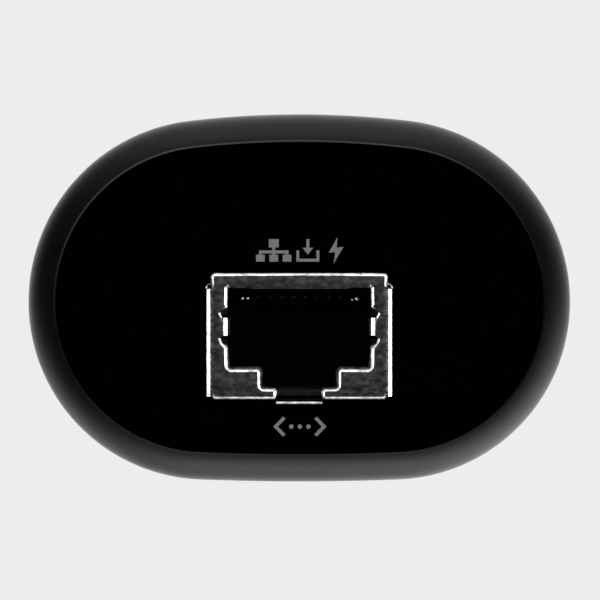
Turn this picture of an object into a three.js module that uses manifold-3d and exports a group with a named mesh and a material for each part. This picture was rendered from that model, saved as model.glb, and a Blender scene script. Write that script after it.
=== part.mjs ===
// A slim mesh Wi-Fi node: an oval casing that holds one circuit board, with a shielded network
// socket in its lower end, a strap-and-screw pad on its back, and two screw-on, folding antennas.
//
// Millimetres, +Z up along the antennas, front towards -Y. The pieces are modelled from the lower
// end of the casing (z = 0) and the line that joins its two end arcs (x = y = 0). The exported
// group then moves that frame so that its origin is the centre of the mounting pad's outer face.

import * as THREE from "three";
import { mergeVertices } from "three/addons/utils/BufferGeometryUtils.js";
import Module from "manifold-3d";

const wasm = await Module();
wasm.setup();

// ---------------------------------------------------------------- driving dimensions

const GAP = 0.3; // between neighbouring pieces that would otherwise share a face
const SLIP = 0.1; // between flat faces that lie on each other

// Casing: an oval with round ends and slightly bulged sides, the front half deeper than the rear.
const CASE_HALF_WIDTH = 23;
const CASE_FRONT = { depth: 15.92, endRadius: 15.48 };
const CASE_REAR = { depth: 15.28, endRadius: 15.12 };
const CASE_HEIGHT = 148;
const CASE_WALL = 2.5;
const CASE_SEAM = 136; // height of the joint between sleeve and top cap
const RIM_ROUND = 3.2; // round of the sleeve's lower edge, cut off where the end plate begins
const TOP_ROUND = 6.5;
const ARC_STEPS = 4; // each end arc of the oval is drawn with twice this many straight pieces

// Network socket (a shielded 8-pin modular jack with its latch towards the rear).
const JACK = { halfWidth: 7.35, front: -2.44, rear: 8.22, depth: 18, sheet: 0.3 };
const PLUG_WAY = { halfWidth: 6, front: -1.15, rear: 5.65 };
const LATCH_WAY = { halfWidth: 3.25, rear: 7.35 };
const LATCH_SLOT = { halfWidth: 1.9, rear: 8.4 }; // runs out through the shield's edge
const CONTACT_PITCH = 1.02;
const CONTACT_COUNT = 8;

// Circuit board, upright behind the socket.
const BOARD = { halfWidth: 14.6, front: 9.0, thickness: 1.2, low: 6.8, high: 129 };
const BOARD_REAR = BOARD.front + BOARD.thickness;
const BOARD_SCREW_HEIGHTS = { lower: 52, upper: 124 };
const RESET_HEIGHT = 30;
const LIGHT_HEIGHT = 118;

// Mounting pad on the back.
const PAD = { halfWidth: 12.5, halfHeight: 20, height: 113, proud: 3.2, corner: 4, round: 0.8 };
const PAD_FACE = CASE_REAR.depth + PAD.proud;
const STRAP = { width: 13, thickness: 1.9 };
const PAD_SCREW_OFFSET = 14.5;

// Antennas.
const ANTENNA_X = 11.5;
const MAST_TIP = 353; // overall height
const KNUCKLE_RADIUS = 5;
const PIVOT_HEIGHT = CASE_HEIGHT + 25.5;
const TONGUE_HALF = 2;

// ---------------------------------------------------------------- materials

const material = (color, roughness, metalness) =>
  new THREE.MeshStandardMaterial({ color, roughness, metalness });

const finish = {
  casing: material(0x1d1e20, 0.48, 0),
  endPlate: material(0x050505, 0.4, 0),
  seal: material(0x141414, 0.85, 0),
  steel: material(0xb4b7ba, 0.28, 1),
  gold: material(0xd8b25a, 0.25, 1),
  nickel: material(0xc6c3ba, 0.3, 1),
  blackPlastic: material(0x0c0c0d, 0.45, 0),
  light: material(0xdfe8f2, 0.25, 0),
  board: material(0x123a24, 0.45, 0),
  chip: material(0x17181a, 0.55, 0),
  can: material(0xa9adb0, 0.32, 1),
  aluminium: material(0x9ea2a6, 0.4, 1),
  copper: material(0xb9754a, 0.35, 1),
  coax: material(0x8b6f4e, 0.5, 0),
};

// ---------------------------------------------------------------- solids from three.js shapes

// A closed three.js geometry as a solid that can be joined and cut.
function solid(geometry) {
  const source = geometry.index ? geometry.toNonIndexed() : geometry.clone();
  source.deleteAttribute("normal");
  source.deleteAttribute("uv");
  const merged = mergeVertices(source, 1e-4);
  const corners = merged.index.array;
  const kept = [];
  for (let i = 0; i < corners.length; i += 3) {
    const [a, b, c] = [corners[i], corners[i + 1], corners[i + 2]];
    if (a !== b && b !== c && c !== a) kept.push(a, b, c);
  }
  const build = (triangles) =>
    new wasm.Manifold(
      new wasm.Mesh({
        numProp: 3,
        vertProperties: merged.attributes.position.array,
        triVerts: new Uint32Array(triangles),
      }),
    );
  const made = build(kept);
  if (made.volume() > 0) return made;
  for (let i = 0; i < kept.length; i += 3) [kept[i], kept[i + 1]] = [kept[i + 1], kept[i]];
  return build(kept);
}

// A solid's surface as a three.js geometry, with flat-shaded normals.
function geometryOf(made) {
  const { numProp, numVert, vertProperties, triVerts } = made.getMesh();
  const position = new Float32Array(numVert * 3);
  for (let i = 0; i < numVert; i++)
    position.set(vertProperties.subarray(i * numProp, i * numProp + 3), i * 3);
  const geometry = new THREE.BufferGeometry();
  geometry.setAttribute("position", new THREE.BufferAttribute(position, 3));
  geometry.setIndex(new THREE.BufferAttribute(triVerts, 1));
  const flat = geometry.toNonIndexed();
  flat.computeVertexNormals();
  return flat;
}

const join = (first, ...rest) => rest.reduce((sum, piece) => sum.add(piece), first);
const cut = (first, ...rest) => rest.reduce((left, piece) => left.subtract(piece), first);

// A box between two limits along each axis.
function box([x0, x1], [y0, y1], [z0, z1]) {
  const geometry = new THREE.BoxGeometry(x1 - x0, y1 - y0, z1 - z0);
  geometry.translate((x0 + x1) / 2, (y0 + y1) / 2, (z0 + z1) / 2);
  return solid(geometry);
}

// A shape drawn in X and Y, extruded upwards from z = low.
function prism(shape, low, height, options = {}) {
  const geometry = new THREE.ExtrudeGeometry(shape, {
    depth: height,
    bevelEnabled: false,
    curveSegments: ARC_STEPS,
    ...options,
  });
  geometry.translate(0, 0, low);
  return solid(geometry);
}

// A shape drawn in X and Z, extruded along +Y from y = low.
function plate(shape, low, thickness, options = {}) {
  const geometry = new THREE.ExtrudeGeometry(shape, {
    depth: thickness,
    bevelEnabled: false,
    curveSegments: 4,
    ...options,
  });
  geometry.rotateX(Math.PI / 2);
  geometry.translate(0, low + thickness, 0);
  return solid(geometry);
}

// A shape drawn in Y and Z, extruded along X and centred on x.
function slab(shape, x, width) {
  const geometry = new THREE.ExtrudeGeometry(shape, { depth: width, bevelEnabled: false });
  geometry.rotateX(Math.PI / 2);
  geometry.rotateZ(Math.PI / 2);
  geometry.translate(x - width / 2, 0, 0);
  return solid(geometry);
}

// A solid of revolution about the Z axis, from [radius, height] pairs that close on the axis.
function turned(profile, segments = 20) {
  const points = profile.map(([radius, height]) => new THREE.Vector2(radius, height));
  const geometry = new THREE.LatheGeometry(points, segments);
  geometry.rotateX(Math.PI / 2);
  return solid(geometry);
}

// A round bar along Y, from y = low to y = high.
function barAlongY(radius, low, high, x, z, segments = 16) {
  const geometry = new THREE.CylinderGeometry(radius, radius, high - low, segments);
  geometry.translate(x, (low + high) / 2, z);
  return solid(geometry);
}

// An upright round bar, from z = low to z = high.
function barAlongZ(radius, low, high, x = 0, y = 0, segments = 20) {
  const geometry = new THREE.CylinderGeometry(radius, radius, high - low, segments);
  geometry.rotateX(Math.PI / 2);
  geometry.translate(x, y, (low + high) / 2);
  return solid(geometry);
}

// A rectangle with rounded corners, centred on (x, y).
function roundedRectangle(halfWidth, halfHeight, corner, x = 0, y = 0) {
  const shape = new THREE.Shape();
  const [right, top] = [halfWidth - corner, halfHeight - corner];
  shape.absarc(x + right, y + top, corner, 0, Math.PI / 2);
  shape.absarc(x - right, y + top, corner, Math.PI / 2, Math.PI);
  shape.absarc(x - right, y - top, corner, Math.PI, 1.5 * Math.PI);
  shape.absarc(x + right, y - top, corner, 1.5 * Math.PI, 2 * Math.PI);
  return shape;
}

const polygon = (points) => new THREE.Shape(points.map(([x, y]) => new THREE.Vector2(x, y)));

// The outline of a bent strip: a line of points given an even thickness.
function strip(points, thickness) {
  const line = points.map(([x, y]) => new THREE.Vector2(x, y));
  const side = (sign) =>
    line.map((point, i) => {
      const before = point.clone().sub(line[Math.max(i - 1, 0)]).normalize();
      const after = line[Math.min(i + 1, line.length - 1)].clone().sub(point).normalize();
      const along = before.clone().add(after).normalize();
      const normal = new THREE.Vector2(-along.y, along.x);
      const straight = before.lengthSq() > 0 ? before : after;
      const reach = Math.max(0.5, normal.dot(new THREE.Vector2(-straight.y, straight.x)));
      return point.clone().addScaledVector(normal, (sign * thickness) / 2 / reach);
    });
  return new THREE.Shape([...side(1), ...side(-1).reverse()]);
}

// ---------------------------------------------------------------- the casing's oval

// The casing's outline, moved inwards everywhere by inset. Each half has two end arcs, centred on
// y = 0, and a shallow curve between them that leaves both arcs along their tangents.
function ovalShape(inset = 0) {
  const shape = new THREE.Shape();
  const addHalf = ({ depth, endRadius }, sign, start) => {
    const centre = CASE_HALF_WIDTH - endRadius;
    const largeRadius = (centre ** 2 + depth ** 2 - endRadius ** 2) / (2 * (depth - endRadius));
    const tangent = Math.atan2(largeRadius - depth, centre);
    const radius = endRadius - inset;
    const end = [centre + radius * Math.cos(tangent), radius * Math.sin(tangent)];
    const peak = end[1] + end[0] / Math.tan(tangent);
    shape.absarc(sign * centre, 0, radius, start, start + tangent);
    shape.quadraticCurveTo(0, sign * peak, -sign * end[0], sign * end[1]);
    shape.absarc(-sign * centre, 0, radius, start + Math.PI - tangent, start + Math.PI);
  };
  addHalf(CASE_REAR, 1, 0);
  addHalf(CASE_FRONT, -1, Math.PI);
  return shape;
}

// The oval casing as a solid block with rounded ends.
function ovalBlock(low, high, round, inset = 0, steps = 5) {
  return prism(ovalShape(inset + round), low + round, high - low - 2 * round, {
    bevelEnabled: true,
    bevelThickness: round,
    bevelSize: round,
    bevelSegments: steps,
  });
}

// An upright oval ring between two insets from the casing's outline.
function ovalRing(outerInset, innerInset, low, high) {
  const outside = prism(ovalShape(outerInset), low, high - low);
  return cut(outside, prism(ovalShape(innerInset), low - 1, high - low + 2));
}

const everywhereAbove = (height) => box([-60, 60], [-60, 60], [height, height + 400]);

// ---------------------------------------------------------------- casing pieces

const LIGHT_HOLE = 5.3;
const RESET_HOLE = 1.75;
const PAD_SCREW_HOLE = 1.3;

function mainSleeve() {
  const rimAngle = Math.acos(1 - CASE_WALL / RIM_ROUND); // where the round meets the bore
  const lift = RIM_ROUND * (1 - Math.sin(rimAngle));
  const outside = cut(ovalBlock(-lift, CASE_SEAM + 20, RIM_ROUND), everywhereAbove(CASE_SEAM));
  const padScrewHoles = [-1, 1].map((side) =>
    barAlongY(PAD_SCREW_HOLE, 10, 20, 0, PAD.height + side * PAD_SCREW_OFFSET),
  );
  return cut(
    outside,
    prism(ovalShape(CASE_WALL), -5, CASE_SEAM + 10),
    barAlongY(LIGHT_HOLE, -20, -10, 0, LIGHT_HEIGHT, 32),
    barAlongY(RESET_HOLE, 10, 20, 0, RESET_HEIGHT),
    ...padScrewHoles,
  );
}

const DECK_HOLE = 3.45;
const DECK_UNDERSIDE = CASE_HEIGHT - 2.4;

function topCap() {
  const low = CASE_SEAM + SLIP;
  const dome = ovalBlock(CASE_SEAM - 20, CASE_HEIGHT, TOP_ROUND, 0, 6).intersect(everywhereAbove(low));
  const skirt = prism(ovalShape(CASE_WALL + 0.15), CASE_SEAM - 6, 8);
  const hollow = prism(ovalShape(CASE_WALL + 1.7), 0, DECK_UNDERSIDE);
  const holes = [-ANTENNA_X, ANTENNA_X].map((x) => barAlongZ(DECK_HOLE, 130, 160, x));
  return cut(join(dome, skirt), hollow, sealGroove(CASE_SEAM - 4), ...holes);
}

// The groove around a cap's skirt that a seal sits in.
const SEAL_WIDTH = 1.4;
function sealGroove(low) {
  return ovalRing(CASE_WALL, CASE_WALL + 0.95, low, low + SEAL_WIDTH + 2 * SLIP);
}

function sealRing(low) {
  return ovalRing(CASE_WALL + 0.05, CASE_WALL + 0.85, low + SLIP, low + SLIP + SEAL_WIDTH);
}

const PLATE_RECESS = 0.3; // how far the end plate lies inside the sleeve's rim
const PLATE_THICKNESS = 2.4;
const SOCKET_CLEARANCE = 0.3;
const SPRING_REACH = 7.87; // outermost point of the socket's side springs

function bottomCap() {
  const top = PLATE_RECESS + PLATE_THICKNESS;
  const face = prism(ovalShape(CASE_WALL + SLIP), PLATE_RECESS, PLATE_THICKNESS);
  const skirt = ovalRing(CASE_WALL + 0.15, CASE_WALL + 1.7, top - 0.5, top + 6);
  const socketWay = box(
    [-SPRING_REACH - SOCKET_CLEARANCE, SPRING_REACH + SOCKET_CLEARANCE],
    [JACK.front - SOCKET_CLEARANCE, JACK.rear + 2 * SOCKET_CLEARANCE],
    [-2, top + 3],
  );
  const boardWay = box(
    [-BOARD.halfWidth - GAP, BOARD.halfWidth + GAP],
    [JACK.rear, BOARD_REAR + GAP],
    [top + 0.5, top + 8],
  );
  return cut(join(face, skirt), socketWay, boardWay, sealGroove(BOTTOM_SEAL_LOW));
}

const BOTTOM_SEAL_LOW = 4.6;

function mountingPad() {
  const { halfWidth, halfHeight, corner, round } = PAD;
  const inside = 11; // starts inside the casing, which then shapes the pad's hollow back
  const outline = roundedRectangle(halfWidth - round, halfHeight - round, corner - round, 0, PAD.height);
  const block = plate(outline, inside + round, PAD_FACE - inside - 2 * round, {
    bevelEnabled: true,
    bevelThickness: round,
    bevelSize: round,
    bevelSegments: 2,
  });
  const casing = prism(ovalShape(-SLIP), PAD.height - 40, 80);
  const strapLow = CASE_REAR.depth - 2;
  const strapWay = box(
    [-20, 20],
    [strapLow, CASE_REAR.depth + STRAP.thickness],
    [PAD.height - STRAP.width / 2, PAD.height + STRAP.width / 2],
  );
  const screwWays = [-1, 1].flatMap((side) => {
    const height = PAD.height + side * PAD_SCREW_OFFSET;
    return [
      barAlongY(PAD_SCREW_HOLE, 10, 20, 0, height),
      barAlongY(PAD_SCREW_HEAD + 0.25, PAD_HEAD_SEAT, 20, 0, height, 20),
    ];
  });
  return cut(block, casing, strapWay, ...screwWays);
}

const PAD_SCREW_HEAD = 2.4;
const PAD_HEAD_SEAT = PAD_FACE - 2.1;

// A screw along Y with its head towards +Y (sense 1) or -Y (sense -1) and a cross in the head.
function screwAlongY(headRadius, headHeight, shankRadius, length, seat, x, z, sense) {
  const range = (from, to) => [Math.min(from, to), Math.max(from, to)];
  const headTop = seat + sense * headHeight;
  const head = barAlongY(headRadius, ...range(seat, headTop), x, z, 20);
  const shank = barAlongY(shankRadius, ...range(seat + sense * 0.1, seat - sense * length), x, z, 12);
  const arm = headRadius * 0.58;
  const slot = range(headTop - sense * headHeight * 0.55, headTop + sense);
  const cross = join(
    box([x - arm, x + arm], slot, [z - 0.28, z + 0.28]),
    box([x - 0.28, x + 0.28], slot, [z - arm, z + arm]),
  );
  return cut(join(head, shank), cross);
}

// The status light: a clear ring in the casing's front, on a stem that collects the board's light.
const LIGHT_RING = { outer: 5.05, inner: 4.25, depth: 1.5 };
const LIGHT_FACE = -CASE_FRONT.depth + 0.15;
const STEM_RADIUS = 1.5;

function statusLightGuide() {
  const back = LIGHT_FACE + LIGHT_RING.depth;
  const stemEnd = BOARD.front - 1.5;
  const profile = [
    [0, back],
    [LIGHT_RING.inner, back],
    [LIGHT_RING.inner, LIGHT_FACE],
    [LIGHT_RING.outer, LIGHT_FACE],
    [LIGHT_RING.outer, back + 1.2],
    [STEM_RADIUS, back + 1.2],
    [STEM_RADIUS, stemEnd],
    [0, stemEnd],
  ];
  return turnedAlongY(profile, 0, LIGHT_HEIGHT, 32);
}

function badgeDisc() {
  const radius = LIGHT_RING.inner - 0.12;
  return barAlongY(radius, LIGHT_FACE, LIGHT_FACE + LIGHT_RING.depth - SLIP, 0, LIGHT_HEIGHT, 32);
}

// A solid of revolution about a line along Y, from [radius, y] pairs.
function turnedAlongY(profile, x, z, segments = 24) {
  const points = profile.map(([radius, along]) => new THREE.Vector2(radius, along));
  const geometry = new THREE.LatheGeometry(points, segments);
  geometry.translate(x, 0, z);
  return solid(geometry);
}

function resetButton() {
  const profile = [
    [0, BOARD_REAR + 1.7],
    [0.9, BOARD_REAR + 1.7],
    [0.9, BOARD_REAR + 1.95],
    [2.3, BOARD_REAR + 1.95],
    [2.3, BOARD_REAR + 2.4],
    [1.45, BOARD_REAR + 2.4],
    [1.45, CASE_REAR.depth - 0.55],
    [1.15, CASE_REAR.depth - 0.3],
    [0, CASE_REAR.depth - 0.3],
  ];
  return turnedAlongY(profile, 0, RESET_HEIGHT, 20);
}

// ---------------------------------------------------------------- network socket

const NOTCH = { radius: 0.36, x: 6.22, rows: [1, 3.2] };
const GROUND_SPRING = { low: 1.4, high: 2.8 };

// The opening in the socket's face: plug, latch and latch slot, with two notches a side.
function plugOpening() {
  const way = ({ halfWidth, front = 0, rear }) => box([-halfWidth, halfWidth], [front, rear], [-1, 1]);
  const notches = NOTCH.rows.flatMap((y) =>
    [-1, 1].map((side) => barAlongZ(NOTCH.radius, -1, 1, side * NOTCH.x, y, 12)),
  );
  return join(way(PLUG_WAY), way(LATCH_WAY), way(LATCH_SLOT), ...notches);
}

// A shape drawn in X and Z, and its mirror image, extruded along Y between two limits.
function onBothSides(points, [low, high]) {
  const mirrored = points.map(([x, z]) => [-x, z]);
  return [plate(polygon(points), low, high - low), plate(polygon(mirrored), low, high - low)];
}

function jackShield() {
  const { halfWidth, front, rear, depth, sheet } = JACK;
  const middle = (front + rear) / 2;
  const half = (rear - front) / 2;
  const outline = roundedRectangle(halfWidth, half, 0.5, 0, middle);
  const outside = prism(outline, 0, depth, { curveSegments: 2 });
  const inside = box(
    [-halfWidth + sheet, halfWidth - sheet],
    [front + sheet, rear - sheet],
    [sheet, depth - sheet],
  );
  const boardSide = box([-halfWidth + 1, halfWidth - 1], [rear - 1, rear + 1], [3, depth + 1]);
  const tab = box([-1.85, 1.85], [rear - 0.1, rear + 0.34], [0, 2.2]);
  const sideSprings = onBothSides(
    [
      [halfWidth - 0.1, 0],
      [SPRING_REACH, 0.9],
      [SPRING_REACH, 1.3],
      [halfWidth - 0.1, 5.5],
    ],
    [-1.2, 7.96],
  );
  const groundSprings = onBothSides(
    [
      [6.5, 0],
      [6.5, sheet],
      [5.75, 3.6],
      [5.5, 3.5],
      [5.5, 1.6],
      [5.9, 0],
    ],
    [GROUND_SPRING.low, GROUND_SPRING.high],
  );
  const shell = join(cut(outside, inside, boardSide, plugOpening()), tab, ...sideSprings);
  return join(shell, ...groundSprings);
}

const HOUSING = { halfWidth: 6.85, front: -1.95, rear: 7.75, low: 0.5, high: 14.6, floor: 13 };

function jackHousing() {
  const { halfWidth, front, rear, low, high, floor } = HOUSING;
  const block = box([-halfWidth, halfWidth], [front, rear], [low, high]);
  const plugSide = PLUG_WAY.halfWidth + 0.05;
  const latchSide = LATCH_WAY.halfWidth + 0.05;
  const plugWay = box([-plugSide, plugSide], [PLUG_WAY.front, PLUG_WAY.rear], [-1, floor]);
  const latchWay = box([-latchSide, latchSide], [0, LATCH_WAY.rear - 0.15], [-1, floor]);
  const slotWay = box([-LATCH_SLOT.halfWidth, LATCH_SLOT.halfWidth], [0, rear + 1], [-1, 2.5]);
  const springWays = onBothSides(
    [
      [5, -1],
      [6.65, -1],
      [6.65, 1.6],
      [6.3, 4.2],
      [5, 4.2],
    ],
    [GROUND_SPRING.low - GAP, GROUND_SPRING.high + GAP],
  );
  const contactSlots = contactPlaces().map((x) =>
    box([x - 0.32, x + 0.32], [CONTACT_TOP - 0.25, CONTACT_TOP + 0.25], [floor - 1, high + 1]),
  );
  return cut(block, plugWay, latchWay, slotWay, ...springWays, ...contactSlots);
}

const CONTACT_TOP = -0.7; // the line of the contacts' straight run, just inside the plug's way
const CONTACT_WIDTH = 0.36;
const CONTACT_BEND = 8; // how far inside the socket the contacts turn back towards the plug

function contactPlaces() {
  const middle = (CONTACT_COUNT - 1) / 2;
  return Array.from({ length: CONTACT_COUNT }, (_, i) => (i - middle) * CONTACT_PITCH);
}

// One contact: from the board, up behind the housing, forward, and back into the plug's way.
function jackContact(x) {
  const line = [
    [BOARD.front - 0.15, 16.6],
    [BOARD.front - 0.15, 15.6],
    [CONTACT_TOP, 15.6],
    [CONTACT_TOP, CONTACT_BEND + 0.5],
    [CONTACT_TOP + 0.3, CONTACT_BEND],
    [CONTACT_TOP + 0.75, CONTACT_BEND + 0.4],
    [1.1, 12.2],
  ];
  return slab(strip(line, 0.25), x, CONTACT_WIDTH);
}

// ---------------------------------------------------------------- board and what it carries

function mainBoard() {
  const middle = (BOARD.low + BOARD.high) / 2;
  const outline = roundedRectangle(BOARD.halfWidth, (BOARD.high - BOARD.low) / 2, 1.2, 0, middle);
  const holes = Object.values(BOARD_SCREW_HEIGHTS).map((z) => barAlongY(1.45, 8, 11, 0, z));
  return cut(plate(outline, BOARD.front, BOARD.thickness), ...holes);
}

const TRAY = { low: 40, high: 129, front: BOARD_REAR + GAP, web: 1.2 };

// A carrier behind the board: a ribbed wall that follows the casing, with four screw bosses.
function chassisTray() {
  const { low, high, front, web } = TRAY;
  const shell = prism(ovalShape(CASE_WALL + GAP), low, high - low).intersect(
    box([-30, 30], [front, 20], [low - 1, high + 1]),
  );
  const pocket = (x, from, to) => box([x - 5, x + 5], [front - 1, 13.0 - web], [from, to]);
  const ribs = [
    [low + 3, 50],
    [55, 74],
    [77, 95],
    [106, 121],
  ];
  const pockets = ribs.flatMap(([from, to]) => [-8, 8].map((x) => pocket(x, from, to)));
  const boardScrewWays = Object.values(BOARD_SCREW_HEIGHTS).map((z) =>
    barAlongY(1.1, front - 1, 12.6, 0, z),
  );
  const padScrewWays = [-1, 1].map((side) =>
    barAlongY(1.35, front - 1, 20, 0, PAD.height + side * PAD_SCREW_OFFSET),
  );
  return cut(shell, ...pockets, ...boardScrewWays, ...padScrewWays);
}

// A chip or can that lies on the board's front, standing out by height.
function onBoard([x0, x1], [z0, z1], height) {
  return box([x0, x1], [BOARD.front - SLIP - height, BOARD.front - SLIP], [z0, z1]);
}

function bulkCapacitor() {
  return turnedAlongY(
    [
      [0, BOARD.front - SLIP],
      [4, BOARD.front - SLIP],
      [4, BOARD.front - 1.6],
      [3.75, BOARD.front - 2],
      [4, BOARD.front - 2.4],
      [4, BOARD.front - 10],
      [3.6, BOARD.front - 10.4],
      [0, BOARD.front - 10.4],
    ],
    9.2,
    38,
    20,
  );
}

function powerInductor() {
  const base = onBoard([4.6, 12.6], [56, 64], 1);
  return join(base, barAlongY(3.7, BOARD.front - 4.6, BOARD.front - 0.9, 8.6, 60, 20));
}

function powerTransformer() {
  const core = onBoard([-13, -1], [33, 45], 8.6);
  const windowCut = [34.6, 41.2].map((z) => onBoard([-14, 0], [z, z + 2.2], 6.2));
  return cut(core, ...windowCut);
}

// Folded steel lid over a radio section, with a row of vent holes.
function radioCan([z0, z1]) {
  const outside = onBoard([-12, 12], [z0, z1], 3);
  const inside = box([-11.7, 11.7], [BOARD.front - 2.8, BOARD.front + 1], [z0 + 0.3, z1 - 0.3]);
  const vents = [-8, -4, 4, 8].map((x) => barAlongY(0.6, 4, 8, x, (z0 + z1) / 2, 8));
  return cut(outside, inside, ...vents);
}

const PROCESSOR = { z: [67, 81], height: 1.3 };

function heatSpreader() {
  const back = BOARD.front - SLIP - PROCESSOR.height - 0.4;
  const height = [65, 83];
  const base = box([-11, 11], [back - 1.4, back], height);
  const fins = [-10, -6, -2, 2, 6, 10].map((x) => box([x - 0.5, x + 0.5], [back - 6, back - 1], height));
  return join(base, ...fins);
}

const resetSwitch = () =>
  join(
    box([-2.1, 2.1], [BOARD_REAR + SLIP, BOARD_REAR + 0.8], [RESET_HEIGHT - 2.1, RESET_HEIGHT + 2.1]),
    barAlongY(0.9, BOARD_REAR + 0.7, BOARD_REAR + 1.1, 0, RESET_HEIGHT, 12),
  );

// ---------------------------------------------------------------- antenna connection

const BARREL_RADIUS = 3.15;
const BARREL_TOP = CASE_HEIGHT + 8.5;
const COAX_RADIUS = 0.65;
const COAX_TOP = CASE_HEIGHT - 8.4;

// These pieces are turned about x = y = 0 and placed at the antenna's line afterwards.
function connectorBody() {
  const deck = CASE_HEIGHT;
  return turned([
    [0, deck - 8],
    [1.6, deck - 8],
    [1.6, deck - 4.4],
    [4.5, deck - 4.4],
    [4.5, DECK_UNDERSIDE - SLIP],
    [BARREL_RADIUS, DECK_UNDERSIDE - SLIP],
    [BARREL_RADIUS, BARREL_TOP - 0.3],
    [BARREL_RADIUS - 0.3, BARREL_TOP],
    [2.35, BARREL_TOP],
    [2.35, deck + 1.4],
    [0, deck + 1.4],
  ]);
}

function connectorPin() {
  const deck = CASE_HEIGHT;
  return turned(
    [
      [0, deck + 1.6],
      [2.1, deck + 1.6],
      [2.1, deck + 3.1],
      [0.45, deck + 3.1],
      [0.45, deck + 6.2],
      [0, deck + 6.6],
    ],
    16,
  );
}

function connectorNut() {
  const hexagon = barAlongZ(4.6, CASE_HEIGHT + SLIP, CASE_HEIGHT + 2.2, 0, 0, 6);
  return cut(hexagon, barAlongZ(BARREL_RADIUS + 0.15, 140, 160));
}

// The coaxial lead from the board up to one connector, along its real route.
function antennaLead(side) {
  const route = new THREE.CatmullRomCurve3([
    new THREE.Vector3(side * 13.4, 7.6, 118),
    new THREE.Vector3(side * 13.6, 7.4, 124),
    new THREE.Vector3(side * 13.2, 5.2, 129),
    new THREE.Vector3(side * 12.0, 1.4, 133),
    new THREE.Vector3(side * ANTENNA_X, 0, 136.5),
    new THREE.Vector3(side * ANTENNA_X, 0, COAX_TOP),
  ]);
  const section = new THREE.Shape().absarc(0, 0, COAX_RADIUS, 0, 2 * Math.PI);
  const tube = new THREE.ExtrudeGeometry(section, { steps: 14, extrudePath: route, curveSegments: 4 });
  return solid(tube);
}

// ---------------------------------------------------------------- antenna

const NUT = { low: CASE_HEIGHT + 2.6, high: CASE_HEIGHT + 11.6, radius: 4.75 };
const NUT_SHOULDER = CASE_HEIGHT + 9.7;

function couplingNut() {
  return turned([
    [3.4, NUT.low],
    [NUT.radius - 0.4, NUT.low],
    [NUT.radius, NUT.low + 0.4],
    [NUT.radius, NUT.high - 0.6],
    [NUT.radius - 0.6, NUT.high],
    [2.65, NUT.high],
    [2.65, NUT_SHOULDER],
    [3.4, NUT_SHOULDER],
    [3.4, NUT.low],
  ]);
}

function plugFerrule() {
  const deck = CASE_HEIGHT;
  return turned([
    [1, deck + 3.5],
    [2, deck + 3.5],
    [2, BARREL_TOP + 0.35],
    [3.1, BARREL_TOP + 0.35],
    [3.1, NUT_SHOULDER - GAP],
    [2.35, NUT_SHOULDER - GAP],
    [2.35, deck + 16],
    [0, deck + 16],
    [0, deck + 7.4],
    [1, deck + 7.4],
    [1, deck + 3.5],
  ]);
}

const CHEEK_RADIUS = 4.9;
const SLOT_HALF = TONGUE_HALF + GAP;
const PIN_RADIUS = 1.2;

// The lower half of the folding joint: a round post with a fork at its top.
function knuckleBase() {
  const low = CASE_HEIGHT + 12;
  const post = barAlongZ(KNUCKLE_RADIUS, low, PIVOT_HEIGHT + CHEEK_RADIUS + 1);
  const belowPivot = box([-10, 10], [-10, 10], [low - 1, PIVOT_HEIGHT]);
  const roundTop = barAlongY(CHEEK_RADIUS, -10, 10, 0, PIVOT_HEIGHT, 28);
  const slot = box([-10, 10], [-SLOT_HALF, SLOT_HALF], [PIVOT_HEIGHT - 5.2, PIVOT_HEIGHT + 10]);
  return cut(
    post.intersect(join(belowPivot, roundTop)),
    slot,
    barAlongZ(2.65, low - 1, CASE_HEIGHT + 16.4),
    barAlongY(PIN_RADIUS + 0.15, -10, 10, 0, PIVOT_HEIGHT),
  );
}

const hingePin = () => barAlongY(PIN_RADIUS, -4.4, 4.4, 0, PIVOT_HEIGHT);

const MAST = { foot: PIVOT_HEIGHT + 5.7, low: PIVOT_HEIGHT + 8.2, baseRadius: 5, tipRadius: 4.3 };

// The upper half of the folding joint: a tongue in the fork, a collar, and a plug into the mast.
function mastFoot() {
  const tongue = join(
    barAlongY(4.5, -TONGUE_HALF, TONGUE_HALF, 0, PIVOT_HEIGHT, 28),
    box([-4.4, 4.4], [-TONGUE_HALF, TONGUE_HALF], [PIVOT_HEIGHT, MAST.foot + 1]),
  );
  const collar = barAlongZ(MAST.baseRadius, MAST.foot, MAST.low - SLIP);
  const plug = barAlongZ(3.7, MAST.low - 1, MAST.low + 7);
  return cut(join(tongue, collar, plug), barAlongY(PIN_RADIUS + 0.2, -10, 10, 0, PIVOT_HEIGHT));
}

function mastTube() {
  const { low, baseRadius, tipRadius } = MAST;
  const round = tipRadius;
  const tip = Array.from({ length: 6 }, (_, i) => {
    const angle = (i / 5) * (Math.PI / 2);
    return [round * Math.cos(angle), MAST_TIP - round + round * Math.sin(angle)];
  });
  tip[tip.length - 1][0] = 0;
  return turned([
    [3.9, low],
    [baseRadius, low],
    [baseRadius, low + 22],
    ...tip,
    [0, MAST_TIP - 5],
    [3.2, MAST_TIP - 6],
    [3.9, low + 24],
    [3.9, low],
  ]);
}

// Coaxial feed with two copper sleeves, one for each band.
function radiatingElement() {
  const base = MAST.low + 8;
  return turned(
    [
      [0, base],
      [0.9, base],
      [0.9, base + 40],
      [2.6, base + 40],
      [2.6, base + 66],
      [0.9, base + 66],
      [0.9, base + 84],
      [2.2, base + 84],
      [2.2, base + 118],
      [0.6, base + 118],
      [0.6, base + 150],
      [0, base + 150],
    ],
    10,
  );
}

// ---------------------------------------------------------------- the assembly

const node = new THREE.Group();
node.name = "mesh_wifi_node";

function add(parent, name, made, look) {
  const mesh = new THREE.Mesh(geometryOf(made), look);
  mesh.name = name;
  parent.add(mesh);
}

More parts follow.
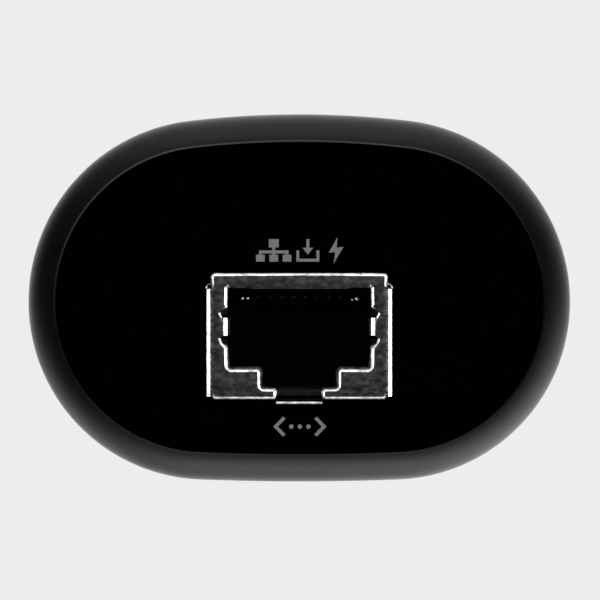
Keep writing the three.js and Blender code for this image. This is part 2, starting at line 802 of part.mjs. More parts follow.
function addCasing(parent) {
  add(parent, "main_sleeve", mainSleeve(), finish.casing);
  add(parent, "top_cap", topCap(), finish.casing);
  add(parent, "bottom_cap", bottomCap(), finish.endPlate);
  add(parent, "top_seal", sealRing(CASE_SEAM - 4), finish.seal);
  add(parent, "bottom_seal", sealRing(BOTTOM_SEAL_LOW), finish.seal);
  add(parent, "rear_mounting_pad", mountingPad(), finish.casing);
  for (const [where, side] of [
    ["lower", -1],
    ["upper", 1],
  ]) {
    const height = PAD.height + side * PAD_SCREW_OFFSET;
    const screw = screwAlongY(PAD_SCREW_HEAD, 1.7, 1.05, 5.4, PAD_HEAD_SEAT + SLIP, 0, height, 1);
    add(parent, `pad_screw_${where}`, screw, finish.steel);
  }
  add(parent, "status_light_guide", statusLightGuide(), finish.light);
  add(parent, "badge_disc", badgeDisc(), finish.casing);
  add(parent, "reset_button", resetButton(), finish.blackPlastic);
}

function addSocket(parent) {
  add(parent, "jack_shield", jackShield(), finish.steel);
  add(parent, "jack_housing", jackHousing(), finish.blackPlastic);
  contactPlaces().forEach((x, i) => add(parent, `jack_contact_${i + 1}`, jackContact(x), finish.gold));
}

function addElectronics(parent) {
  add(parent, "main_board", mainBoard(), finish.board);
  add(parent, "chassis_tray", chassisTray(), finish.blackPlastic);
  for (const [where, height] of Object.entries(BOARD_SCREW_HEIGHTS)) {
    const screw = screwAlongY(2.1, 1.3, 0.9, 3.2, BOARD.front - SLIP, 0, height, -1);
    add(parent, `board_screw_${where}`, screw, finish.steel);
  }
  add(parent, "network_transformer", onBoard([-8, 8], [20, 29], 5.6), finish.chip);
  add(parent, "power_transformer", powerTransformer(), finish.copper);
  add(parent, "bulk_capacitor", bulkCapacitor(), finish.aluminium);
  add(parent, "power_inductor", powerInductor(), finish.chip);
  add(parent, "processor_chip", onBoard([-7, 7], PROCESSOR.z, PROCESSOR.height), finish.chip);
  add(parent, "memory_chip", onBoard([-11, -3], [54, 64], 1.1), finish.chip);
  add(parent, "heat_spreader", heatSpreader(), finish.aluminium);
  add(parent, "radio_can_low_band", radioCan([84.5, 97.5]), finish.can);
  add(parent, "radio_can_high_band", radioCan([102.5, 114.5]), finish.can);
  const lightChip = onBoard([-0.9, 0.9], [LIGHT_HEIGHT - 0.9, LIGHT_HEIGHT + 0.9], 0.8);
  add(parent, "status_light_chip", lightChip, finish.light);
  add(parent, "reset_switch", resetSwitch(), finish.steel);
}

// One antenna with its connection, in the order that it would be unscrewed.
function addAntenna(parent, name, side) {
  const line = new THREE.Group();
  line.position.x = side * ANTENNA_X;
  add(line, `${name}_connector_body`, connectorBody(), finish.nickel);
  add(line, `${name}_connector_pin`, connectorPin(), finish.gold);
  add(line, `${name}_connector_nut`, connectorNut(), finish.nickel);
  add(line, `${name}_plug_ferrule`, plugFerrule(), finish.nickel);
  add(line, `${name}_coupling_nut`, couplingNut(), finish.nickel);
  add(line, `${name}_knuckle_base`, knuckleBase(), finish.casing);
  add(line, `${name}_hinge_pin`, hingePin(), finish.steel);
  add(line, `${name}_mast_foot`, mastFoot(), finish.casing);
  add(line, `${name}_mast_tube`, mastTube(), finish.casing);
  add(line, `${name}_radiating_element`, radiatingElement(), finish.copper);
  parent.add(line);
  add(parent, `${name}_antenna_lead`, antennaLead(side), finish.coax);
}

const casingFrame = new THREE.Group();
casingFrame.position.set(0, -PAD_FACE, -PAD.height);
node.add(casingFrame);

addCasing(casingFrame);
addSocket(casingFrame);
addElectronics(casingFrame);
addAntenna(casingFrame, "left", -1);
addAntenna(casingFrame, "right", 1);

export default node;
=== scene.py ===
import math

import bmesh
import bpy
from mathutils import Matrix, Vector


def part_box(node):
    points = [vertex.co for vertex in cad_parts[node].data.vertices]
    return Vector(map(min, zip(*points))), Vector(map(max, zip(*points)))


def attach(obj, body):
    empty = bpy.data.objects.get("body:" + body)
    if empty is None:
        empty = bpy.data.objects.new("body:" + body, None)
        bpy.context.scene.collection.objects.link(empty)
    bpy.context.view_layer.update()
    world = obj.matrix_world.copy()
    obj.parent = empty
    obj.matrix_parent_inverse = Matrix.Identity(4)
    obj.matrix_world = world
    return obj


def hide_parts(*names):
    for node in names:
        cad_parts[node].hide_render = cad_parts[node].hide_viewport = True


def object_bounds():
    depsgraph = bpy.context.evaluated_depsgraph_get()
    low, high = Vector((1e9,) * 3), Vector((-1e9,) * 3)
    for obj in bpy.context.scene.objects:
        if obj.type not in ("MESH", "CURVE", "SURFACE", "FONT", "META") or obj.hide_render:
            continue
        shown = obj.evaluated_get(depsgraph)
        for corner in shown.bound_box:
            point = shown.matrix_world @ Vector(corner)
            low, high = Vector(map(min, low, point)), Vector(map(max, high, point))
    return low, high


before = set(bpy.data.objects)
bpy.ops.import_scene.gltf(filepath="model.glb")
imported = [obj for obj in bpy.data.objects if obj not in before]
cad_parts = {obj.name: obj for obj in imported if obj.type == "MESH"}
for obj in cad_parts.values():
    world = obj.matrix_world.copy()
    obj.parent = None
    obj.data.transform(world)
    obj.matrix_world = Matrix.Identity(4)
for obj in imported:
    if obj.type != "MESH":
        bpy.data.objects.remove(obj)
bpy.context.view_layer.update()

# Looks of the mesh wifi node: its black casing, the shielded network socket in its lower end, the
# folding antennas and the board inside. Shapes are drawn in millimetres in the casing's own frame:
# z = 0 is its lower end, x = 0 its middle, and y = 0 goes through the centres of its end arcs. Each
# finished mesh is then moved into the CAD frame, in metres.

MM = 0.001


# ---------------- where the CAD pieces are

def centre_of(node):
    low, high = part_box(node)
    return (low + high) / 2


ORIGIN = Vector((0, centre_of("left_connector_body").y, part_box("jack_shield")[0].z))
TO_FRAME = Matrix.Translation(ORIGIN) @ Matrix.Scale(MM, 4)


def span(node):
    """The CAD node's limits in the casing's frame, in millimetres: x, y and z, each (low, high)."""
    low, high = [(corner - ORIGIN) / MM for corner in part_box(node)]
    return [(low[i], high[i]) for i in range(3)]


SLEEVE = span("main_sleeve")
PLATE = span("bottom_cap")
SHIELD = span("jack_shield")
PAD = span("rear_mounting_pad")
LIGHT = span("status_light_guide")
BUTTON = span("reset_button")

HALF_WIDTH = SLEEVE[0][1]
FRONT_DEPTH, REAR_DEPTH = -SLEEVE[1][0], SLEEVE[1][1]
SEAM = SLEEVE[2][1]
CASE_TOP = span("top_cap")[2][1]
PLATE_FACE = PLATE[2][0]
WALL = HALF_WIDTH - PLATE[0][1] - 0.1
LIGHT_Z, BUTTON_Z, PAD_Z = [sum(limits[2]) / 2 for limits in (LIGHT, BUTTON, PAD)]

# The casing's rounds and the rear edge of the socket's face, which no box gives.
END_RADIUS = {"front": 15.48, "rear": 15.12}
RIM_ROUND = 3.2
TOP_ROUND = 6.5
FACE_REAR = 8.22


# ---------------- meshes

def face_outwards(mesh, merge=0.0):
    """Turns every face of a closed mesh outwards, once points nearer than merge are joined."""
    work = bmesh.new()
    work.from_mesh(mesh)
    if merge:
        bmesh.ops.remove_doubles(work, verts=work.verts, dist=merge)
    bmesh.ops.recalc_face_normals(work, faces=work.faces)
    work.to_mesh(mesh)
    work.free()


def added(name, data):
    """A new object in the scene."""
    obj = bpy.data.objects.new(name, data)
    bpy.context.scene.collection.objects.link(obj)
    return obj


def made(name, verts, faces):
    mesh = bpy.data.meshes.new(name)
    mesh.from_pydata(verts, [], faces)
    face_outwards(mesh, merge=1e-5)
    return added(name, mesh)


def bake(obj):
    """Replaces the object's mesh by what its modifiers make of it."""
    bpy.context.view_layer.update()
    shown = obj.evaluated_get(bpy.context.evaluated_depsgraph_get())
    mesh = bpy.data.meshes.new_from_object(shown)
    old = obj.data
    obj.modifiers.clear()
    obj.data = mesh
    bpy.data.meshes.remove(old)
    return obj


def remove(obj):
    mesh = obj.data
    bpy.data.objects.remove(obj)
    bpy.data.meshes.remove(mesh)


def combine(obj, others, operation="DIFFERENCE"):
    for other in others:
        step = obj.modifiers.new("combine", "BOOLEAN")
        step.operation = operation
        step.solver = "EXACT"
        step.object = other
        bake(obj)
        remove(other)
    return obj


def cut(obj, *others):
    return combine(obj, others)


def fuse(obj, *others):
    return combine(obj, others, "UNION")


def add_bevel(obj, width, segments, angle):
    """Breaks the edges that are sharper than the angle, in degrees."""
    step = obj.modifiers.new("bevel", "BEVEL")
    step.width = width
    step.segments = segments
    step.limit_method = "ANGLE"
    step.angle_limit = math.radians(angle)


def bevelled(obj, width, segments, angle=35):
    add_bevel(obj, width, segments, angle)
    return bake(obj)


def together(name, *objects):
    """Several closed bodies as one piece."""
    work = bmesh.new()
    for obj in objects:
        work.from_mesh(obj.data)
    mesh = bpy.data.meshes.new(name)
    work.to_mesh(mesh)
    work.free()
    for obj in objects:
        remove(obj)
    return added(name, mesh)


def moved(obj, matrix):
    obj.data.transform(matrix)
    return obj


def placed(obj, x=0.0, y=0.0, z=0.0):
    return moved(obj, Matrix.Translation((x, y, z)))


def piece(obj, finish, body, nodes=(), sharp=32):
    """Moves a mesh drawn in the casing's millimetres into the frame and hangs it on its CAD body."""
    obj.data.transform(TO_FRAME)
    face_outwards(obj.data)
    obj.data.shade_smooth()
    obj.data.set_sharp_from_angle(angle=math.radians(sharp))
    obj.data.materials.clear()
    obj.data.materials.append(finish.material)
    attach(obj, body)
    if nodes:
        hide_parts(*nodes)
    return obj


def loft(name, rings, wrap=False):
    """A skin over rings of equally many points, closed by its two end faces or onto itself."""
    count = len(rings[0])
    verts = [point for ring in rings for point in ring]
    faces = []
    for r in range(len(rings) if wrap else len(rings) - 1):
        a, b = r * count, (r + 1) % len(rings) * count
        for i in range(count):
            j = (i + 1) % count
            faces.append((a + i, a + j, b + j, b + i))
    if not wrap:
        last = (len(rings) - 1) * count
        faces.append(tuple(reversed(range(count))))
        faces.append(tuple(range(last, last + count)))
    return made(name, verts, faces)


def circle(radius, count):
    turns = [2 * math.pi * k / count for k in range(count)]
    return [(radius * math.cos(a), radius * math.sin(a)) for a in turns]


def arc(x, z, radius, start, end, steps):
    """Points on an arc about (x, z), from one angle in degrees to another."""
    angles = [math.radians(start + (end - start) * k / steps) for k in range(steps + 1)]
    return [(x + radius * math.cos(a), z + radius * math.sin(a)) for a in angles]


def spun(name, profile, segments=96):
    """A solid of revolution about Z from (radius, height) points: on the axis at both ends, or closed."""
    closed = profile[0] == profile[-1]
    points = profile[:-1] if closed else profile
    verts, rows = [], []
    for radius, height in points:
        if radius < 1e-6:
            rows.append([len(verts)])
            verts.append((0, 0, height))
            continue
        rows.append(list(range(len(verts), len(verts) + segments)))
        verts += [(x, y, height) for x, y in circle(radius, segments)]
    faces = []
    for low, high in zip(rows, rows[1:] + ([rows[0]] if closed else [])):
        for i in range(segments):
            j = (i + 1) % segments
            corners = [low[i % len(low)], low[j % len(low)], high[j % len(high)], high[i % len(high)]]
            corners = list(dict.fromkeys(corners))
            if len(corners) > 2:
                faces.append(corners)
    return made(name, verts, faces)


ALONG_Y = Matrix.Rotation(math.radians(90), 4, "X")  # takes a height along Z to the same depth along -Y


def spun_y(name, profile, x, z, segments=96):
    """A solid of revolution about a line along Y, from (radius, y) points."""
    flipped = [(radius, -along) for radius, along in profile]
    return placed(moved(spun(name, flipped, segments), ALONG_Y), x=x, z=z)


def prism(name, outline, low, high):
    """An outline in X and Y between two heights."""
    return loft(name, [[(x, y, z) for x, y in outline] for z in (low, high)])


def block(name, x, y, z):
    return prism(name, [(x[0], y[0]), (x[1], y[0]), (x[1], y[1]), (x[0], y[1])], *z)


def rod(name, radius, low, high, x=0.0):
    return placed(spun(name, [(0, low), (radius, low), (radius, high), (0, high)], 64), x)


def rod_y(name, radius, low, high, x, z, segments=64):
    return spun_y(name, [(0, low), (radius, low), (radius, high), (0, high)], x, z, segments)


def filleted(corners, closed=True, steps=6):
    """A line through (x, y, radius) corners with each corner rounded by its radius."""
    points = []
    count = len(corners)
    for i, (x, y, radius) in enumerate(corners):
        if radius <= 0 or (not closed and i in (0, count - 1)):
            points.append((x, y))
            continue
        here = Vector((x, y))
        before = Vector(corners[i - 1][:2]) - here
        after = Vector(corners[(i + 1) % count][:2]) - here
        half = before.angle(after) / 2
        reach = min(radius / math.tan(half), before.length * 0.49, after.length * 0.49)
        radius = reach * math.tan(half)
        centre = here + (before.normalized() + after.normalized()).normalized() * radius / math.sin(half)
        start = here + before.normalized() * reach - centre
        end = here + after.normalized() * reach - centre
        first = math.atan2(start.y, start.x)
        sweep = (math.atan2(end.y, end.x) - first + math.pi) % (2 * math.pi) - math.pi
        for k in range(steps + 1):
            angle = first + sweep * k / steps
            points.append((centre.x + radius * math.cos(angle), centre.y + radius * math.sin(angle)))
    return points


def mirrored(half):
    """A closed outline from its right half, which starts and ends on x = 0."""
    return half + [(-x, *rest) for x, *rest in reversed(half) if abs(x) > 1e-9]


def shifted(outline, x, y):
    return [(px + x, py + y) for px, py in outline]


def rounded_rectangle(half_width, half_height, corner, steps=10):
    quarters = ((1, 1), (-1, 1), (-1, -1), (1, -1))
    return filleted([(x * half_width, y * half_height, corner) for x, y in quarters], steps=steps)


# ---------------- the casing's oval

def oval(inset=0.0, arc_steps=30, side_steps=44):
    """The casing's outline moved inwards, anticlockwise from above, with the same number of points."""
    points = []
    halves = ((1, REAR_DEPTH, END_RADIUS["rear"]), (-1, FRONT_DEPTH, END_RADIUS["front"]))
    for sign, depth, radius in halves:
        centre = HALF_WIDTH - radius
        large = (centre**2 + depth**2 - radius**2) / (2 * (depth - radius))
        tangent = math.atan2(large - depth, centre)
        small = radius - inset
        angles = [tangent * k / arc_steps for k in range(arc_steps)]
        half = [(centre + small * math.cos(a), small * math.sin(a)) for a in angles]
        end = (centre + small * math.cos(tangent), small * math.sin(tangent))
        peak = end[1] + end[0] / math.tan(tangent)
        for t in [k / side_steps for k in range(side_steps)]:
            from_end, from_far_end, from_peak = (1 - t) ** 2, t**2, 2 * t * (1 - t)
            x = end[0] * (from_end - from_far_end)
            half.append((x, end[1] * (from_end + from_far_end) + from_peak * peak))
        angles = [math.pi - tangent + a for a in angles]
        half += [(small * math.cos(a) - centre, small * math.sin(a)) for a in angles]
        points += [(sign * x, sign * y) for x, y in half]
    return points


def oval_ring(inset, z):
    return [(x, y, z) for x, y in oval(inset)]


def oval_skin(name, profile, wrap=False):
    """A skin over the oval from (inset, height) points."""
    return loft(name, [oval_ring(inset, z) for inset, z in profile], wrap)


# ---------------- finishes

def new_node(tree, kind, inputs=None, **settings):
    """A node with its settings. An input is given a value, or another node's output to link from."""
    made_node = tree.nodes.new(kind)
    for setting, value in settings.items():
        setattr(made_node, setting, value)
    for socket, source in (inputs or {}).items():
        if isinstance(source, bpy.types.NodeSocket):
            tree.links.new(source, made_node.inputs[socket])
        else:
            made_node.inputs[socket].default_value = source
    return made_node


class Finish:
    """A procedural material. The sizes and heights of its patterns are in millimetres."""

    def __init__(self, name, colour, roughness, metallic=0.0, specular=0.5):
        self.material = bpy.data.materials.new(name)
        self.material.use_nodes = True
        self.tree = self.material.node_tree
        self.shader = self.tree.nodes["Principled BSDF"]
        self.place = new_node(self.tree, "ShaderNodeTexCoord").outputs["Object"]
        self.normal = None
        self.colour = colour
        self.set("Base Color", (*colour, 1)).set("Roughness", roughness)
        self.set("Metallic", metallic).set("Specular IOR Level", specular)

    def set(self, socket, value):
        self.shader.inputs[socket].default_value = value
        return self

    def noise(self, size, stretch, detail):
        scale = [1 / s for s in stretch]
        mapping = new_node(self.tree, "ShaderNodeMapping", {"Vector": self.place, "Scale": scale})
        inputs = {"Vector": mapping.outputs["Vector"], "Scale": 1 / (size * MM), "Detail": detail}
        inputs["Roughness"] = 0.55
        return new_node(self.tree, "ShaderNodeTexNoise", inputs).outputs["Fac"]

    def ramp(self, source, low, high, first, last):
        """Colours or greys from first to last while the source goes from low to high."""
        ramp = new_node(self.tree, "ShaderNodeValToRGB", {"Fac": source})
        for element, position, colour in zip(ramp.color_ramp.elements, (low, high), (first, last)):
            element.position = position
            element.color = (*colour, 1)
        return ramp.outputs["Color"]

    def tint(self, size, amount, stretch=(1, 1, 1), detail=3.0):
        """Colour that varies by amount, as a share, over patches of that size."""
        darker = [c * (1 - amount) for c in self.colour]
        lighter = [c * (1 + amount) for c in self.colour]
        colours = self.ramp(self.noise(size, stretch, detail), 0.35, 0.65, darker, lighter)
        self.tree.links.new(colours, self.shader.inputs["Base Color"])
        return self

    def rough(self, size, low, high, stretch=(1, 1, 1), detail=3.0):
        """Roughness that varies from low to high over patches of that size."""
        greys = self.ramp(self.noise(size, stretch, detail), 0.3, 0.7, [low] * 3, [high] * 3)
        self.tree.links.new(greys, self.shader.inputs["Roughness"])
        return self

    def bump(self, size, height, stretch=(1, 1, 1), detail=3.0):
        """Grain of that size and height, laid over any bump that is already there."""
        inputs = {"Distance": height * MM, "Height": self.noise(size, stretch, detail)}
        if self.normal is not None:
            inputs["Normal"] = self.normal
        self.normal = new_node(self.tree, "ShaderNodeBump", inputs).outputs["Normal"]
        self.tree.links.new(self.normal, self.shader.inputs["Normal"])
        return self


# Satin moulded plastic: fine spark-eroded grain, faint handling marks in the gloss.
casing_plastic = Finish("casing_plastic", (0.0034, 0.0035, 0.0037), 0.34)
casing_plastic.tint(6, 0.1).rough(2.5, 0.31, 0.37)
casing_plastic.bump(0.22, 0.0022, detail=2).bump(0.09, 0.0006, detail=1)

# The end plate is a deeper black than the casing and hardly reflects.
end_plate_black = Finish("end_plate_black", (0.0002, 0.0002, 0.0002), 0.4, specular=0.03)
end_plate_black.tint(4, 0.2).rough(2, 0.36, 0.44).bump(0.25, 0.0012, detail=2)

mark_ink = Finish("mark_ink", (0.55, 0.55, 0.56), 0.6, specular=0.2)
mark_ink.tint(0.6, 0.05).bump(0.12, 0.001, detail=2)

seal_rubber = Finish("seal_rubber", (0.012, 0.012, 0.012), 0.8, specular=0.3)
seal_rubber.tint(2, 0.2).bump(0.2, 0.004)

black_plastic = Finish("black_plastic", (0.004, 0.004, 0.0042), 0.5, specular=0.35)
black_plastic.tint(3, 0.15).rough(2, 0.45, 0.56).bump(0.18, 0.002)

# Tin-plated spring steel of the socket: mottled, brushed along its length.
shield_steel = Finish("shield_steel", (0.42, 0.42, 0.424), 0.24, metallic=1.0)
shield_steel.tint(0.5, 0.5, (1.5, 1, 1), 5).rough(0.4, 0.16, 0.3, (1.4, 1, 1), 4)
shield_steel.bump(0.3, 0.0016, (1.5, 1, 1), 3).bump(0.06, 0.0003, (1, 14, 1), 1)

# A far darker copy of the shield's steel for the latch slot's floor: painted shade for the slot's depth.
steel_darkened_as_shade = Finish("steel_darkened_as_shade", (0.03, 0.03, 0.031), 0.4, metallic=1.0)
steel_darkened_as_shade.tint(0.5, 0.3, (1.5, 1, 1), 4).rough(0.4, 0.34, 0.46).bump(0.3, 0.003)

screw_steel = Finish("screw_steel", (0.42, 0.42, 0.43), 0.3, metallic=1.0)
screw_steel.tint(1.2, 0.1).rough(0.8, 0.22, 0.38).bump(0.1, 0.0008, (1, 6, 1))

tinned_can = Finish("tinned_can", (0.6, 0.61, 0.6), 0.34, metallic=1.0)
tinned_can.tint(4, 0.08).rough(3, 0.26, 0.42).bump(0.3, 0.002, (6, 1, 1))

nickel = Finish("nickel", (0.57, 0.545, 0.5), 0.24, metallic=1.0)
nickel.tint(2.5, 0.07).rough(1.5, 0.18, 0.31).bump(0.12, 0.0008, (1, 1, 0.3))

# The contacts' gold is painted dark, as painted shade for the depth of the socket, so it doesn't glint
# there.
gold = Finish("gold", (0.2, 0.14, 0.07), 0.36, metallic=1.0)
gold.tint(1.5, 0.06).rough(1, 0.3, 0.42).bump(0.1, 0.0006)

copper = Finish("copper", (0.72, 0.36, 0.2), 0.34, metallic=1.0)
copper.tint(2, 0.15).rough(1, 0.28, 0.42).bump(0.25, 0.006, (8, 1, 1))

aluminium = Finish("aluminium", (0.55, 0.56, 0.57), 0.36, metallic=1.0)
aluminium.tint(3, 0.08).rough(1.4, 0.3, 0.45, (1, 1, 8)).bump(0.1, 0.001, (1, 1, 14))

solder_mask = Finish("solder_mask", (0.006, 0.045, 0.02), 0.34)
solder_mask.tint(1.6, 0.35, (1, 1, 4), 2).rough(2, 0.28, 0.4)
solder_mask.bump(0.9, 0.02, (1, 1, 9), 0).bump(1.1, 0.02, (9, 1, 1), 0)

chip_epoxy = Finish("chip_epoxy", (0.016, 0.016, 0.018), 0.55, specular=0.35)
chip_epoxy.tint(1, 0.15).rough(1, 0.5, 0.62).bump(0.12, 0.003)

# The status light's ring: a frosted clear moulding, unlit.
frosted_clear = Finish("frosted_clear", (0.72, 0.76, 0.8), 0.42)
frosted_clear.set("Transmission Weight", 0.35).set("IOR", 1.49)
frosted_clear.tint(3, 0.03).rough(1, 0.38, 0.48).bump(0.15, 0.002)

coax_jacket = Finish("coax_jacket", (0.2, 0.13, 0.075), 0.38)
coax_jacket.tint(2, 0.1).rough(1, 0.32, 0.45).bump(0.3, 0.004)


# ---------------- casing

LIGHT_HOLE = LIGHT[0][1] + 0.25
BUTTON_HOLE = 1.75
PAD_SCREW_Z = [sum(span(f"pad_screw_{where}")[2]) / 2 for where in ("lower", "upper")]
ANTENNA_X = centre_of("right_connector_body").x / MM

# Both caps have a skirt inside the sleeve, with a groove for a seal round it.
SKIRT_OUTER, SKIRT_INNER = WALL + 0.15, WALL + 1.7
GROOVE_FLOOR, GROOVE_HEIGHT = WALL + 0.95, 1.6


def casing_sleeve():
    centre = RIM_ROUND * math.sin(math.acos(1 - WALL / RIM_ROUND))
    edge = 0.2  # small round where the rim meets the bore
    stop = math.degrees(math.acos(1 - (WALL - edge) / RIM_ROUND))
    outside = [(edge * 1.5, SEAM), (0.06, SEAM - 0.06), (0, SEAM - 0.2)]
    # Rows of points beside the holes, so that the faces between them stay short.
    heights = [SEAM - 2, LIGHT_Z + 8, LIGHT_Z + 5.6, LIGHT_Z, LIGHT_Z - 5.6, LIGHT_Z - 8, 90, 60]
    outside += [(0, z) for z in heights + [BUTTON_Z + 2.5, BUTTON_Z, BUTTON_Z - 2.5, 12, 6]]
    rim = arc(RIM_ROUND, centre, RIM_ROUND, 180, 180 + stop, 22)
    low = rim[-1][1]
    bore = [(WALL - 0.11, low + 0.04), (WALL - 0.04, low + 0.1), (WALL, low + 0.2)]
    bore += [(WALL, 8), (WALL, SEAM - 0.15), (WALL - 0.15, SEAM)]
    sleeve = oval_skin("casing_sleeve", outside + rim + bore, wrap=True)
    holes = [rod_y("hole", LIGHT_HOLE, -22, -8, 0, LIGHT_Z, 96)]
    holes.append(rod_y("hole", BUTTON_HOLE, 8, 22, 0, BUTTON_Z))
    holes += [rod_y("hole", 1.3, 8, 22, 0, z) for z in PAD_SCREW_Z]
    return cut(sleeve, *holes)


def seal_groove(low):
    high = low + GROOVE_HEIGHT
    return [(SKIRT_OUTER, low), (GROOVE_FLOOR, low), (GROOVE_FLOOR, high), (SKIRT_OUTER, high)]


def casing_cap():
    low, end, deck = SEAM + 0.1, SEAM - 6, CASE_TOP - 2.4
    inner, outer = SKIRT_INNER, SKIRT_OUTER
    profile = [(inner + 4, deck), (inner + 0.5, deck), (inner, deck - 0.5), (inner, end)]
    profile += [(outer + 0.3, end), (outer, end + 0.3), *seal_groove(SEAM - 4), (outer, low)]
    profile += [(0.15, low), (0.05, low + 0.05), (0, low + 0.2), (0, low + 2)]
    profile += arc(TOP_ROUND, CASE_TOP - TOP_ROUND, TOP_ROUND, 180, 90, 18)
    profile += [(TOP_ROUND + 0.6, CASE_TOP)]
    cap = oval_skin("casing_cap", profile)
    holes = [rod("hole", 3.45, SEAM, CASE_TOP + 5, x=x) for x in (-ANTENNA_X, ANTENNA_X)]
    return cut(cap, *holes)


def end_plate():
    outer = WALL + 0.1
    low, top, end = PLATE_FACE, PLATE_FACE + 2.4, PLATE[2][1]
    edge = 0.14
    profile = [(outer + 3, low), (outer + 0.3, low)]
    profile += arc(outer + edge, low + edge, edge, 270, 180, 6)
    profile += [(outer, top), (SKIRT_OUTER, top), *seal_groove(4.6)]
    profile += [(SKIRT_OUTER, end), (SKIRT_INNER, end), (SKIRT_INNER, top), (WALL + 5, top)]
    plate = oval_skin("end_plate", profile)
    side = SHIELD[0][1] + 0.12
    opening = block("opening", (-side, side), (SHIELD[1][0] - 0.12, FACE_REAR + 0.08), (-2, 6))
    tab_way = block("tab_way", (-2, 2), (0, SHIELD[1][1] + 0.08), (-2, 6))
    (left, right), (_, rear), _ = span("main_board")
    board_way = block("board_way", (left - 0.3, right + 0.3), (FACE_REAR, rear + 0.3), (3.2, 12))
    return cut(plate, opening, tab_way, board_way)


piece(casing_sleeve(), casing_plastic, "casing", ["main_sleeve"], sharp=28)
piece(casing_cap(), casing_plastic, "casing", ["top_cap"], sharp=28)
piece(end_plate(), end_plate_black, "casing", ["bottom_cap"])


# ---------------- printed marks on the end plate

INK = 0.02  # thickness of the print


def mark(name, outlines):
    """Flat symbols on the end plate: closed outlines in X and Y."""
    parts = [prism(name, outline, PLATE_FACE - INK, PLATE_FACE + 0.01) for outline in outlines]
    return piece(together(name, *parts), mark_ink, "casing")


def network_tree():
    """One box over three, joined by lines."""
    line, box, leaf, spread = 0.13, 0.42, 0.37, 1.12
    top, low = -0.95, 0.95
    half = [(0, top), (box, top), (box, -0.25), (line, -0.25), (line, 0)]
    half += [(spread + line, 0), (spread + line, leaf), (spread + leaf, leaf), (spread + leaf, low)]
    half += [(spread - leaf, low), (spread - leaf, leaf), (spread - line, leaf), (spread - line, 2 * line)]
    half += [(line, 2 * line), (line, leaf), (leaf, leaf), (leaf, low), (0, low)]
    return mirrored(half)


def input_arrow():
    """An arrow down into an open tray."""
    arrow = mirrored([(0, -0.95), (0.13, -0.95), (0.13, -0.22), (0.46, -0.22), (0, 0.36)])
    tray = mirrored([(0, 0.7), (0.72, 0.7), (0.72, 0), (0.97, 0), (0.97, 0.95), (0, 0.95)])
    return [arrow, tray]


def bolt():
    return [(0.14, -1.12), (-0.62, 0.2), (-0.04, 0.14), (-0.2, 1.12), (0.64, -0.3), (0.06, -0.22)]


def link_sign():
    """Two chevrons with three dots between them."""
    chevron = [(1.42, -0.84), (2.24, 0), (1.42, 0.84), (1.2, 0.66), (1.84, 0), (1.2, -0.66)]
    dots = [shifted(circle(0.19, 24), x, 0) for x in (-0.72, 0, 0.72)]
    return [chevron, [(-x, y) for x, y in chevron], *dots]


UPPER_MARK_Y = -4.32
LOWER_MARK_Y = 10.5
upper = [shifted(network_tree(), -2.15, UPPER_MARK_Y)]
upper += [shifted(outline, 0.72, UPPER_MARK_Y) for outline in input_arrow()]
upper += [shifted(bolt(), 3.08, UPPER_MARK_Y)]
mark("mark_network_and_power_input", upper)
mark("mark_network_link", [shifted(outline, 0.05, LOWER_MARK_Y) for outline in link_sign()])


# ---------------- network socket

# The socket's face: its half width, its front edge, the opening in it, and the notches beside it.
FACE_HALF, FACE_FRONT = 7.35, SHIELD[1][0]
WAY_HALF, WAY_FRONT, WAY_REAR = 6.01, -1.17, 5.65
LATCH_HALF, LATCH_REAR = 3.27, 7.3
SLOT_HALF, LATCH_TAB_HALF = 1.92, 1.94
NOTCH_ROWS = (0.97, 3.16)
SHEET = 0.3  # thickness
EDGE_DROP = 0.62  # how steeply the sheet's rolled edges fall away, per millimetre
SHARP, LEAST_DROP = 0.012, 0.05  # width and depth of an edge that isn't rolled


def offset_point(points, i, distance):
    """Point i of a closed outline moved to the left of its direction."""
    here = Vector(points[i])
    before = (here - Vector(points[i - 1])).normalized()
    after = (Vector(points[(i + 1) % len(points)]) - here).normalized()
    along = (before + after).normalized() if (before + after).length > 1e-6 else after
    normal = Vector((-along.y, along.x))
    reach = max(0.6, normal.dot(Vector((-after.y, after.x))))
    return here + normal * distance / reach


